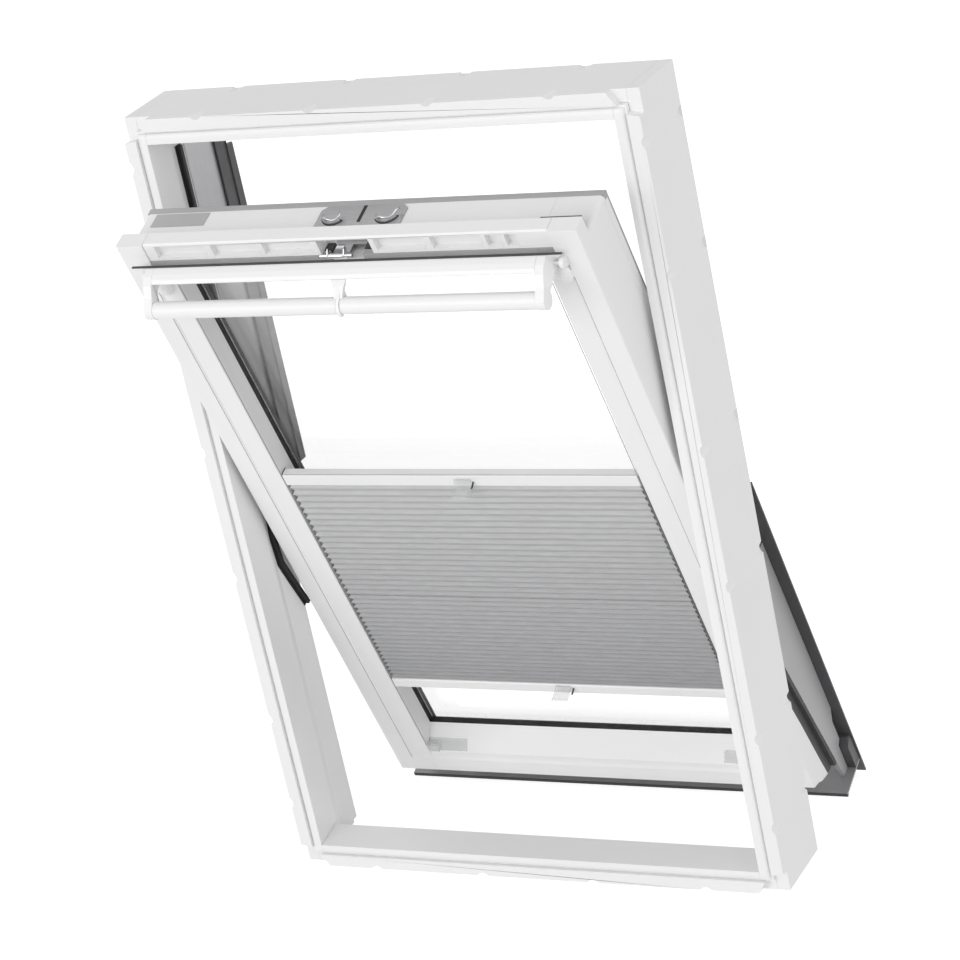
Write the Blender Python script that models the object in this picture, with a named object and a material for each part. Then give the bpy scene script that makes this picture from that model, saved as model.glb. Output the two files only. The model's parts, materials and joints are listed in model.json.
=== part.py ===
"""Centre-pivot roof window with a top-down, bottom-up pleated blind fitted in its sash.

Metres. X runs to the right as seen from the room, Y points outwards through the window,
Z runs up along it. The origin lies on the underside of the frame, at the middle of its depth.
The frame is modelled in (x, y, z) measured from its room side. The sash is modelled in its own
(x, w, v): w is the depth from its room face and v the height from its lower edge.
"""
import math

import bmesh
import bpy
from mathutils import Matrix, Vector

# Clearance between pieces that lie against each other
GAP = 0.0003

# Fixed frame
FRAME_WIDTH = 0.780
FRAME_HEIGHT = 1.1808
FRAME_DEPTH = 0.1117
COLLAR = 0.0185
COLLAR_GROOVE = 0.0030
GROOVE_DEPTH = 0.0060
FACE_ROUND = 0.0075
FACE_DROP = 0.0045
FACE_SIDE = 0.036
FACE_HEAD = 0.0364
FACE_SILL = 0.035
FRONT_PROUD = 0.0138
CORNER_BLOCK = 0.030
STRIP_SLANT = 0.012
LINING_DEPTH = 0.040
WALL_START = 0.053
WALL_RECESS = 0.0025
LOWER_DEPTH = 0.0995
UPPER_DEPTH = 0.146
STEP_BELOW_PIVOT = 0.0549
STEP_RISE = 0.018

# Scallops along the edges of the collar
NOTCH_RADIUS = 0.0115
NOTCH_LENGTH = 0.062
NOTCH_BITE = 0.005
NOTCH_TIP = 0.0004
NOTCHES_FROM_SILL = (0.106, 0.247, 0.480)
NOTCHES_FROM_HEAD = (0.5008, 0.2518, 0.0698)
HEAD_NOTCH_PITCH = 0.178

# Weather seal of the frame: how it runs down one side, as (depth, height above the pivot)
SEAL_WIDTH = 0.015
SEAL_GROOVE = 0.005
SEAL_LIP = 0.0040
SEAL_DEPTH = 0.0605
SEAL_BELOW_HEAD = 0.0268
SEAL_BEND = ((0.0605, 0.005), (0.0555, -0.042), (0.0605, -0.085), (0.079, -0.123), (0.104, -0.172))

# Outer cladding of the frame's upper half
CLAD_RISE = 0.042
CLAD_CREST = 0.0362
CLAD_EDGE = 0.0020
CLAD_LIP = 0.0045
CLAD_STEP_DROP = 0.016
CLAD_STEP = 0.0020
CLAD_ABOVE_PIVOT = 0.030
CLAD_CREST_BELOW_TOP = 0.1048

# Head stop and striker
STOP_FRONT = 0.0670
STOP_THICKNESS = 0.0130
STOP_DROP = 0.0262
STRIKER_WIDTH = 0.110
STRIKER_THICKNESS = 0.0025
STRIKER_DROP = 0.0040
STRIKER_HEIGHT = 0.029

# Sash pose: its pivot in the frame, and where its room face and lower edge close
PIVOT_DEPTH = 0.1264
PIVOT_HEIGHT = 0.5549
SASH_FRONT = 0.0384
SASH_BOTTOM = 0.0229
OPEN_ANGLE = math.radians(20.956)

# Sash
SIDE_GAP = 0.00925
HEAD_GAP = 0.0242
STILE_FACE = 0.0648
STILE_STEP = 0.03145
RAIL_FACE = 0.0427
RAIL_STEP = 0.0302
RAIL_SLOPE = 0.0295
FACE_STEP = 0.0028
STILE_STEP_RUN = 0.0025
RAIL_STEP_RUN = 0.0050
ARRIS = 0.0025
SASH_DEPTH = 0.0905
REBATE_SEAT = 0.0362
REBATE_LAP = 0.0135
REBATE_BACK = 0.0708
BEVEL_RUN = 0.0315
REBATE_STEP = 0.036
LOW_LAP = 0.0245
TOP_STEP = 0.0228
TOP_CORNER_RADIUS = 0.006
TOP_REVEAL = 0.0649
TOP_RAIL_FRONT = 0.012
VENT_BAR_FRONT = 0.002
VENT_BAR_BACK = 0.0255
VENT_BAR_HEIGHT = 0.0288
VENT_SLOT = 0.0082
EAR_WIDTH = 0.042

# Glazing
PANE = 0.004
CAVITY = 0.009
GLASS_EDGE = 0.0015
GASKET_DEPTH = 0.0100
SPACER_INSET = 0.0025
SPACER_WIDTH = 0.0080

# Sash cladding, drip plate and the lower side pieces
SASH_CLAD = 0.0102
SASH_CLAD_LAP = 0.0070
LOW_CLAD_LAP = 0.0060
APRON_DROP = 0.064
DRIP_FRONT = 0.043
DRIP_BACK = 0.1117
DRIP_THICKNESS = 0.0060
DRIP_OVERHANG = 0.0205
COVER_THICKNESS = 0.0071
COVER_BACK = 0.112
COVER_STEP = 0.340
COVER_TOP = 0.405
FLANGE_WIDTH_TOP = 0.0275
FLANGE_WIDTH_LOW = 0.0225
FLANGE_LAP = 0.009
FLANGE_THICKNESS = 0.0027
FLANGE_TOP = 0.525
FLANGE_BOTTOM = -0.0935
BLOCK_WIDTH = 0.020
BLOCK_DEPTH = 0.0188
BLOCK_TOP = -0.010
BLOCK_ROUND = 0.006

# Seal let into the sash's sides, as a path of (w, v) up one side
SASH_SEAL_WIDTH = 0.0230
SASH_SEAL_PATH = ((0.0640, -0.060), (0.0540, 0.015), (0.0433, 0.111), (0.0325, 0.187), (0.0185, 0.300),
                  (0.0165, 0.326))

# Pivot plates
PLATE_THICKNESS = 0.003
PLATE_HEIGHT = 0.060
PLATE_INNER = 0.0245
PLATE_OUTER = 0.0185
PIN_RADIUS = 0.005
SCREW_RADIUS = 0.003
SCREW_SPACING = 0.040

# Handle and vent flap, hinged on lugs in front of the stiles
HINGE_W = -0.009
HINGE_BELOW_TOP = 0.0458
HINGE_EYE = 0.0072
HINGE_PIN = 0.0025
BOSS_INSET = 0.04325
HANDLE_FRONT = ((-0.0130, 0.0200), (-0.0172, 0.0205), (-0.0300, 0.0165), (-0.0400, 0.0085), (-0.0500, -0.0045))
HANDLE_BACK = ((-0.0360, -0.0120), (-0.0290, -0.0062), (-0.0200, -0.0052))
FLAP_PROFILE = ((-0.0130, 0.0200), (-0.0172, 0.0205), (-0.0270, 0.0178), (-0.0340, 0.0140), (-0.0372, 0.0095),
                (-0.0355, 0.0072), (-0.0310, 0.0080), (-0.0220, 0.0120), (-0.0150, 0.0155))
FLAP_SEAL_PROFILE = ((-0.0132, 0.0204), (-0.0170, 0.0209), (-0.0168, 0.0224), (-0.0134, 0.0220))
BRACKET_FRONT = ((-0.0358, 0.0066), (-0.0430, 0.0010), (-0.0500, -0.0070))
BRACKET_BACK = ((-0.0400, -0.0080), (-0.0330, 0.0020), (-0.0310, 0.0074))
LUG_WIDTH = 0.006
TUBE_RADIUS = 0.0118
TUBE_REACH = 0.0435
TUBE_DROP = 0.0230
HANDLE_TOP_INSET = 0.02225
HANDLE_INSET = 0.04525
HANDLE_PLATE = 0.0125
HANDLE_FLARE = 0.0045

# Latch
LATCH_PLATE_WIDTH = 0.1300
LATCH_PLATE_FRONT = 0.0500
LATCH_PLATE_BACK = 0.0890
LATCH_PLATE_THICKNESS = 0.0015
HOOK_X = 0.040
HOOK_RADIUS = 0.0150
HOOK_WIDTH = 0.0045
HOOK_PROUD = 0.0020
HOOK_CENTRE_W = 0.0690
CARRIAGE_THICKNESS = 0.0025
WELL_FRONT = 0.0290
WELL_BACK = 0.0820
WELL_MARGIN = 0.0040

LINK_X = -0.008
LINK_HALF = 0.0240
LINK_W = -0.0065
LINK_RADIUS = 0.0026
LINK_WAY = 0.0240

# Label
LABEL_INSET = 0.0108
LABEL_FRONT = 0.0630
LABEL_LENGTH = 0.0850
LABEL_WIDTH = 0.0250

# Blind
BLIND_W = 0.010
BLIND_DEPTH = 0.016
BLIND_SIDE_GAP = 0.00145
TOP_RAIL_LOW = 0.6317
TOP_RAIL_SPLIT = 0.6485
TOP_RAIL_HIGH = 0.6530
TOP_RAIL_LIP = 0.0018
BOTTOM_RAIL_LOW = 0.1936
BOTTOM_RAIL_HIGH = 0.2117
RAIL_EASE = 0.0020
PLEATS = 40
PLEAT_DEPTH = 0.014
PLEAT_WEB = 0.005
PLEAT_GROWTH = 1.6
FABRIC_INSET = 0.0015
CORD_INSET = 0.0011
CORD_W = 0.0026
CORD_RADIUS = 0.0005
CORD_NOTCH_IN = 0.00125
CORD_NOTCH_BACK = 0.0011
PEG_REACH = 0.0050
PEG_HEIGHT = 0.0060
GRIP_X = 0.010
GRIP_WIDTH = 0.025
TOP_GRIP_BELOW = 0.0052
TOP_GRIP_DROP = 0.0125
BOTTOM_GRIP_BELOW = 0.0007
BOTTOM_GRIP_DROP = 0.0040
BRACKET_LENGTH = 0.0652
BRACKET_PLATE = 0.0015
BRACKET_CLIP = 0.0182
BRACKET_RISE = 0.0148

# Sizes that follow from the ones above
HALF_FRAME = FRAME_WIDTH / 2
HALF_OPENING = HALF_FRAME - FACE_SIDE
HEAD_FACE_Z = FRAME_HEIGHT - FACE_HEAD
INNER_EDGE = HALF_FRAME - COLLAR - GAP
HALF_SASH = HALF_OPENING - SIDE_GAP
CLAD_BOTTOM = PIVOT_HEIGHT + CLAD_ABOVE_PIVOT
CLAD_TOP_DEPTH = UPPER_DEPTH + CLAD_RISE
CLAD_STEP_DEPTH = CLAD_TOP_DEPTH - CLAD_STEP_DROP
FRAME_SEAL_PATH = ((SEAL_DEPTH, HEAD_FACE_Z - SEAL_BELOW_HEAD),) + tuple((y, PIVOT_HEIGHT + z) for y, z in SEAL_BEND)
SASH_HEIGHT = HEAD_FACE_Z - HEAD_GAP - SASH_BOTTOM
PIVOT_W = PIVOT_DEPTH - SASH_FRONT
PIVOT_V = PIVOT_HEIGHT - SASH_BOTTOM
REVEAL_X = HALF_SASH - STILE_FACE
REBATE_X = REVEAL_X + REBATE_LAP
SASH_TOP = SASH_HEIGHT - TOP_STEP
REVEAL_TOP = SASH_HEIGHT - TOP_REVEAL
REBATE_TOP = REVEAL_TOP + REBATE_LAP
BEVEL_TOP = REBATE_TOP + (SASH_TOP - REBATE_TOP) * 0.5
REVEAL_LOW = RAIL_FACE + RAIL_SLOPE
REBATE_LOW = REVEAL_LOW - LOW_LAP
GLASS_W = REBATE_SEAT + GAP + GASKET_DEPTH + GAP
OUTER_PANE_W = GLASS_W + PANE + CAVITY
GLASS_BACK = OUTER_PANE_W + PANE
VENT_BAR_LOW = SASH_HEIGHT - VENT_BAR_HEIGHT
SLOT_LOW = VENT_BAR_LOW - VENT_SLOT
HINGE_V = SASH_HEIGHT - HINGE_BELOW_TOP
HANDLE_TOP_X = HALF_SASH - HANDLE_TOP_INSET
HANDLE_X = HALF_SASH - HANDLE_INSET
TUBE_W = HINGE_W - TUBE_REACH
TUBE_V = HINGE_V - TUBE_DROP
BLIND_HALF = REVEAL_X - BLIND_SIDE_GAP
CORD_X = REVEAL_X - CORD_INSET
BRACKET_TOP = RAIL_FACE + BRACKET_RISE
CARRIAGE_FLOOR = SASH_TOP - 0.0215
CARRIAGE_LOW = CARRIAGE_FLOOR + 0.0060
LINK_V = VENT_BAR_LOW + 0.0055


def clear_scene():
    for obj in list(bpy.data.objects):
        bpy.data.objects.remove(obj, do_unlink=True)


def material(name, colour, roughness, metallic=0.0, alpha=1.0):
    made = bpy.data.materials.new(name)
    made.use_nodes = True
    shader = made.node_tree.nodes["Principled BSDF"]
    shader.inputs["Base Color"].default_value = (*colour, 1.0)
    shader.inputs["Roughness"].default_value = roughness
    shader.inputs["Metallic"].default_value = metallic
    shader.inputs["Alpha"].default_value = alpha
    made.diffuse_color = (*colour, alpha)
    return made


def empty(name, location, parent=None):
    made = bpy.data.objects.new(name, None)
    bpy.context.collection.objects.link(made)
    made.location = location
    made.parent = parent
    return made


def mesh_object(name, bm, parent, surface):
    """Turns a bmesh into an object under its parent, with every face pointing out."""
    bmesh.ops.recalc_face_normals(bm, faces=bm.faces[:])
    mesh = bpy.data.meshes.new(name)
    bm.to_mesh(mesh)
    bm.free()
    made = bpy.data.objects.new(name, mesh)
    bpy.context.collection.objects.link(made)
    made.parent = parent
    if surface:
        mesh.materials.append(surface)
    return made


def add_prism(bm, outline, axis, start, end):
    """Adds a closed prism. The outline's pairs are the other two axes in X, Y, Z order."""
    place = {"x": lambda a, b, t: (t, a, b), "y": lambda a, b, t: (a, t, b), "z": lambda a, b, t: (a, b, t)}[axis]
    rings = [[bm.verts.new(place(a, b, t)) for a, b in outline] for t in (start, end)]
    bm.faces.new(rings[0])
    bm.faces.new(rings[1])
    count = len(outline)
    for i in range(count):
        j = (i + 1) % count
        bm.faces.new((rings[0][i], rings[0][j], rings[1][j], rings[1][i]))


def add_box(bm, low, high):
    add_prism(bm, [(low[0], low[1]), (high[0], low[1]), (high[0], high[1]), (low[0], high[1])], "z", low[2], high[2])


def add_rod(bm, radius, axis, start, end, centre, sides=24):
    ring = [(centre[0] + radius * math.cos(2 * math.pi * i / sides),
             centre[1] + radius * math.sin(2 * math.pi * i / sides)) for i in range(sides)]
    add_prism(bm, ring, axis, start, end)


def prism(name, outline, axis, start, end, parent, surface):
    bm = bmesh.new()
    add_prism(bm, outline, axis, start, end)
    return mesh_object(name, bm, parent, surface)


def box(name, low, high, parent, surface):
    bm = bmesh.new()
    add_box(bm, low, high)
    return mesh_object(name, bm, parent, surface)


def rod(name, radius, axis, start, end, centre, parent, surface, sides=24):
    bm = bmesh.new()
    add_rod(bm, radius, axis, start, end, centre, sides)
    made = mesh_object(name, bm, parent, surface)
    smooth(made)
    return made


def ring_plate(name, outer, inner, start, end, parent, surface):
    """A rectangular ring in x and v, between two depths w. Each rectangle is (half width, low, high)."""
    bm = bmesh.new()
    loops = []
    for half, low, high in (outer, inner):
        for depth in (start, end):
            corners = ((-half, low), (half, low), (half, high), (-half, high))
            loops.append([bm.verts.new((x, depth, v)) for x, v in corners])
    outer_front, outer_back, inner_front, inner_back = loops
    for first, second in ((outer_front, inner_front), (inner_front, inner_back), (inner_back, outer_back),
                          (outer_back, outer_front)):
        for i in range(4):
            j = (i + 1) % 4
            bm.faces.new((first[i], first[j], second[j], second[i]))
    return mesh_object(name, bm, parent, surface)


def smooth(obj, angle=35):
    obj.data.shade_smooth()
    obj.data.set_sharp_from_angle(angle=math.radians(angle))


def boolean(obj, tool, operation):
    modifier = obj.modifiers.new(operation.title(), "BOOLEAN")
    modifier.operation = operation
    modifier.solver = "EXACT"
    modifier.object = tool
    tool.hide_render = True
    tool.display_type = "WIRE"


def cut(obj, tool):
    boolean(obj, tool, "DIFFERENCE")


def join(obj, tool):
    boolean(obj, tool, "UNION")


def cut_box(obj, label, low, high):
    cut(obj, box(f"{obj.name}_{label}", low, high, obj.parent, None))


def cut_prism(obj, label, outline, axis, start, end):
    cut(obj, prism(f"{obj.name}_{label}", outline, axis, start, end, obj.parent, None))


def ribbon(path, width, trim=0.0):
    """The outline of a band of constant width that follows a path of points, its ends cut back by trim."""
    points = [Vector(p) for p in path]
    points[0] += (points[1] - points[0]).normalized() * trim
    points[-1] += (points[-2] - points[-1]).normalized() * trim
    left, right = [], []
    for i, point in enumerate(points):
        before = (point - points[i - 1]).normalized() if i else None
        after = (points[i + 1] - point).normalized() if i < len(points) - 1 else None
        along = (before or after) + (after or before)
        along.normalize()
        side = Vector((-along.y, along.x))
        reach = width / 2 / max(0.2, along.dot(after or before))
        left.append(tuple(point + side * reach))
        right.append(tuple(point - side * reach))
    return left + right[::-1]


def arc(centre, radius, start, end, steps):
    """Points of an arc, angles in degrees from the first axis towards the second."""
    angles = [math.radians(start + (end - start) * i / steps) for i in range(steps + 1)]
    return [(centre[0] + radius * math.cos(a), centre[1] + radius * math.sin(a)) for a in angles]


def sided(outline, side):
    """Mirrors an outline in (x, ...) to the left when side is -1."""
    return [(side * a, b) for a, b in outline]


def span(side, low, high):
    return sorted((side * low, side * high))


SIDES = (("left", -1), ("right", 1))


def scallop(obj, label, at, outwards, inwards):
    """Cuts a scoop that starts on an edge and fades along the face behind it."""
    bm = bmesh.new()
    bmesh.ops.create_cone(bm, cap_ends=True, segments=14, radius1=NOTCH_RADIUS, radius2=NOTCH_TIP,
                          depth=NOTCH_LENGTH)
    turn = Vector(inwards).to_track_quat("Z", "Y").to_matrix().to_4x4()
    centre = Vector(at) + Vector(outwards) * (NOTCH_RADIUS - NOTCH_BITE) + Vector(inwards) * (NOTCH_LENGTH / 2 - 0.002)
    bmesh.ops.transform(bm, matrix=Matrix.Translation(centre) @ turn, verts=bm.verts)
    cut(obj, mesh_object(f"{obj.name}_{label}", bm, obj.parent, None))


def rounded_edge(edge, run):
    """Points (position, depth) of the frame's eased front edge, from its outer wall at edge to its flat face."""
    turns = [math.radians(90 - 22.5 * i) for i in range(5)]
    return [(edge - run + run * math.sin(a), -FRONT_PROUD + FACE_DROP * (1 - math.cos(a))) for a in turns]


def frame_side(name, side, parent, surface):
    """Inner side member: the visible lining, the recessed wall and the upper stand-up."""
    wall = HALF_OPENING + WALL_RECESS
    leg = INNER_EDGE - COLLAR_GROOVE
    outline = [
        (HALF_OPENING, -FRONT_PROUD), (HALF_OPENING, LINING_DEPTH), (wall, WALL_START), (wall, UPPER_DEPTH),
        (INNER_EDGE, UPPER_DEPTH), (INNER_EDGE, GROOVE_DEPTH - FRONT_PROUD), (leg, GROOVE_DEPTH - FRONT_PROUD)]
    outline += rounded_edge(leg, FACE_ROUND)
    low = COLLAR + GAP
    high = FRAME_HEIGHT - COLLAR - GAP
    member = prism(name, sided(outline, side), "z", low, high, parent, surface)
    across = span(side, HALF_OPENING - 0.01, HALF_FRAME)
    behind = UPPER_DEPTH + 0.01
    step = PIVOT_HEIGHT - STEP_BELOW_PIVOT
    cut_prism(member, "lower_back", [(LOWER_DEPTH, -0.01), (LOWER_DEPTH, step), (behind, step + STEP_RISE),
                                     (behind, -0.01)], "x", *across)
    groove_back = GROOVE_DEPTH - FRONT_PROUD
    for label, turn, edge in (("head", 1, high - COLLAR_GROOVE), ("sill", -1, low + COLLAR_GROOVE)):
        away = edge + turn * 0.02
        waste = [(depth, z) for z, depth in rounded_edge(edge, turn * FACE_ROUND)][::-1]
        waste += [(groove_back, edge), (groove_back, away), (-0.03, away), (-0.03, edge - turn * FACE_ROUND)]
        cut_prism(member, f"{label}_groove", waste, "x", *across)
    cut_prism(member, "seal_groove", ribbon(FRAME_SEAL_PATH, SEAL_WIDTH), "x",
              *span(side, HALF_OPENING - 0.01, wall + SEAL_GROOVE))
    return member


def frame_seal(name, side, parent, surface):
    """Rubber seal pressed into the groove, with a lip that meets the sash's side."""
    wall = HALF_OPENING + WALL_RECESS
    bm = bmesh.new()
    depth = span(side, wall - 0.001, wall + SEAL_GROOVE - GAP)
    add_prism(bm, ribbon(FRAME_SEAL_PATH, SEAL_WIDTH - 2 * GAP, GAP), "x", *depth)
    seal = mesh_object(name, bm, parent, surface)
    lip = prism(f"{name}_lip", ribbon(FRAME_SEAL_PATH, SEAL_WIDTH * 0.4, 2 * GAP), "x",
                *span(side, wall - WALL_RECESS - SEAL_LIP, wall + 0.002), parent, None)
    join(seal, lip)
    return seal


def frame_head(parent, surface):
    """Head member with the stop that the vent bar closes against."""
    edge = FRAME_HEIGHT - COLLAR - GAP
    leg = edge - COLLAR_GROOVE
    groove_back = GROOVE_DEPTH - FRONT_PROUD
    stop_back = STOP_FRONT + STOP_THICKNESS
    stop_low = HEAD_FACE_Z - STOP_DROP
    outline = [
        (-FRONT_PROUD, HEAD_FACE_Z), (STOP_FRONT, HEAD_FACE_Z), (STOP_FRONT, stop_low), (stop_back, stop_low),
        (stop_back, HEAD_FACE_Z), (UPPER_DEPTH, HEAD_FACE_Z), (UPPER_DEPTH, edge), (groove_back, edge),
        (groove_back, leg)] + [(depth, z) for z, depth in rounded_edge(leg, FACE_ROUND)]
    half = HALF_OPENING - GAP
    return prism("frame_head", outline, "x", -half, half, parent, surface)


def frame_sill(parent, surface):
    """Sill member: its top rises to a lip in front of the closed sash and falls away behind it."""
    edge = COLLAR + GAP
    leg = edge + COLLAR_GROOVE
    groove_back = GROOVE_DEPTH - FRONT_PROUD
    lip = SASH_FRONT - 0.0018
    outline = [
        (-FRONT_PROUD, FACE_SILL), (lip - 0.0006, FACE_SILL + 0.0080), (lip, FACE_SILL + 0.0074),
        (lip, SASH_BOTTOM - 0.0004), (lip + 0.0120, edge), (groove_back, edge), (groove_back, leg)]
    outline += [(depth, z) for z, depth in rounded_edge(leg, -FACE_ROUND)]
    half = HALF_OPENING - GAP
    return prism("frame_sill", outline, "x", -half, half, parent, surface)


def collar_side(name, side, parent, surface):
    """Insulating collar along one side: a slab, a strip proud of its front and scalloped edges."""
    across = span(side, HALF_FRAME - COLLAR, HALF_FRAME)
    collar = box(name, (across[0], 0, 0), (across[1], FRAME_DEPTH, FRAME_HEIGHT), parent, surface)
    low = CORNER_BLOCK
    high = FRAME_HEIGHT - CORNER_BLOCK
    inner = HALF_FRAME - COLLAR
    strip = [(inner, low), (HALF_FRAME, low + STRIP_SLANT / 3), (HALF_FRAME, high - STRIP_SLANT / 3), (inner, high)]
    join(collar, prism(f"{name}_strip", sided(strip, side), "y", -FRONT_PROUD, 0.002, parent, None))
    heights = NOTCHES_FROM_SILL + tuple(FRAME_HEIGHT - drop for drop in NOTCHES_FROM_HEAD)
    for i, height in enumerate(heights):
        scallop(collar, f"front_{i}", (side * HALF_FRAME, -FRONT_PROUD, height), (side, 0, 0), (0, 1, 0))
        scallop(collar, f"back_{i}", (side * HALF_FRAME, FRAME_DEPTH, height), (side, 0, 0), (0, -1, 0))
    return collar


def collar_across(name, outline, strip_outer, strip_inner, notch, parent, surface):
    """Insulating collar across the head or the sill, between the side collars."""
    half = HALF_FRAME - COLLAR - GAP
    collar = prism(name, outline, "x", -half, half, parent, surface)
    end = HALF_FRAME - CORNER_BLOCK
    strip = [(-end, strip_inner), (end, strip_inner), (end - STRIP_SLANT, strip_outer),
             (-end + STRIP_SLANT, strip_outer)]
    join(collar, prism(f"{name}_strip", strip, "y", -FRONT_PROUD, 0.002, parent, None))
    for i in (-1.5, -0.5, 0.5, 1.5):
        notch(collar, i * HEAD_NOTCH_PITCH)
    return collar


def collar_head(parent, surface):
    low = FRAME_HEIGHT - COLLAR
    outline = [(0, low), (FRAME_DEPTH, low), (FRAME_DEPTH, FRAME_HEIGHT), (0, FRAME_HEIGHT)]

    def notch(collar, x):
        scallop(collar, f"front_{x:.3f}", (x, -FRONT_PROUD, FRAME_HEIGHT), (0, 0, 1), (0, 1, 0))
        scallop(collar, f"back_{x:.3f}", (x, FRAME_DEPTH, FRAME_HEIGHT), (0, 0, 1), (0, -1, 0))

    return collar_across("collar_head", outline, FRAME_HEIGHT, low, notch, parent, surface)


def collar_sill(parent, surface):
    """The sill's collar slopes away at the back, under the sash's stepped lower edge."""
    lip = SASH_FRONT - 0.0018
    outline = [(0, 0), (lip + 0.0334, 0), (lip + 0.0252, 0.0070), (lip + 0.0164, 0.0150), (lip + 0.0115, COLLAR),
               (0, COLLAR)]

    def notch(collar, x):
        scallop(collar, f"front_{x:.3f}", (x, -FRONT_PROUD, 0), (0, 0, -1), (0, 1, 0))

    return collar_across("collar_sill", outline, 0, COLLAR, notch, parent, surface)


def clad_outline(edge):
    """Section of the frame's upper cladding, as (distance in from the frame's outer face, depth)."""
    inner = FACE_SIDE - WALL_RECESS
    lip = inner + CLAD_LIP
    stand = COLLAR
    return [
        (stand, FRAME_DEPTH + edge), (CLAD_EDGE, FRAME_DEPTH + edge), (CLAD_CREST, CLAD_TOP_DEPTH),
        (lip + CLAD_STEP, CLAD_TOP_DEPTH), (lip + CLAD_STEP, CLAD_STEP_DEPTH + 0.0006), (lip, CLAD_STEP_DEPTH),
        (lip, UPPER_DEPTH + edge), (stand, UPPER_DEPTH + edge)]


def frame_cladding_side(name, side, parent, surface):
    outline = [(HALF_FRAME - inwards, depth) for inwards, depth in clad_outline(GAP)]
    clad = prism(name, sided(outline, side), "z", CLAD_BOTTOM, FRAME_HEIGHT - CLAD_EDGE, parent, surface)
    across = span(side, HALF_FRAME - 2 * FACE_SIDE, HALF_FRAME)
    cut_box(clad, "crest_end", (across[0], CLAD_STEP_DEPTH + 0.0009, FRAME_HEIGHT - CLAD_CREST_BELOW_TOP),
            (across[1], CLAD_TOP_DEPTH + 0.05, FRAME_HEIGHT + 0.01))
    over = CLAD_TOP_DEPTH + 0.05
    cut_prism(clad, "hip", [
        (FRAME_DEPTH, FRAME_HEIGHT - CLAD_EDGE), (CLAD_TOP_DEPTH, FRAME_HEIGHT - CLAD_CREST),
        (over, FRAME_HEIGHT - CLAD_CREST), (over, FRAME_HEIGHT + 0.02), (FRAME_DEPTH, FRAME_HEIGHT + 0.02)],
              "x", *across)
    return clad


def frame_cladding_head(parent, surface):
    outline = [(depth, FRAME_HEIGHT - inwards) for inwards, depth in clad_outline(GAP)]
    half = HALF_FRAME - FACE_SIDE + WALL_RECESS - CLAD_LIP - CLAD_STEP - GAP
    return prism("frame_cladding_head", outline, "x", -half, half, parent, surface)


def striker_plate(parent, surface):
    """Plate on the back of the head stop that the latch hooks catch."""
    front = STOP_FRONT + STOP_THICKNESS + GAP
    low = HEAD_FACE_Z - STOP_DROP - STRIKER_DROP
    half = STRIKER_WIDTH / 2
    return box("striker_plate", (-half, front, low), (half, front + STRIKER_THICKNESS, low + STRIKER_HEIGHT), parent,
               surface)


def frame_pivot_plate(name, side, parent, surface):
    """Plate on the frame's wall, with the pin that the sash turns on and its screw heads."""
    wall = HALF_OPENING + WALL_RECESS - GAP
    face = wall - PLATE_THICKNESS
    low = PIVOT_HEIGHT - PLATE_HEIGHT / 2
    x = span(side, face, wall)
    plate = box(name, (x[0], PIVOT_DEPTH - PLATE_INNER, low), (x[1], PIVOT_DEPTH + PLATE_OUTER, low + PLATE_HEIGHT),
                parent, surface)
    join(plate, rod(f"{name}_pin", PIN_RADIUS, "x", *span(side, HALF_SASH + 2 * GAP, face + PLATE_THICKNESS / 2),
                    (PIVOT_DEPTH, PIVOT_HEIGHT), parent, None, 32))
    for offset in (-SCREW_SPACING / 2, SCREW_SPACING / 2):
        join(plate, rod(f"{name}_screw_{offset:.2f}", SCREW_RADIUS, "x", *span(side, face - 0.0012, face + 0.0012),
                        (PIVOT_DEPTH - 0.0142, PIVOT_HEIGHT + offset), parent, None, 16))
    return plate


def step_profile():
    """The stepped lower edge of the sash, as (w, v) from its room face outwards."""
    return [(0.0, 0.001), (0.016, -0.006), (0.025, -0.014), (0.040, -0.021), (0.056, -0.027)]


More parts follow.
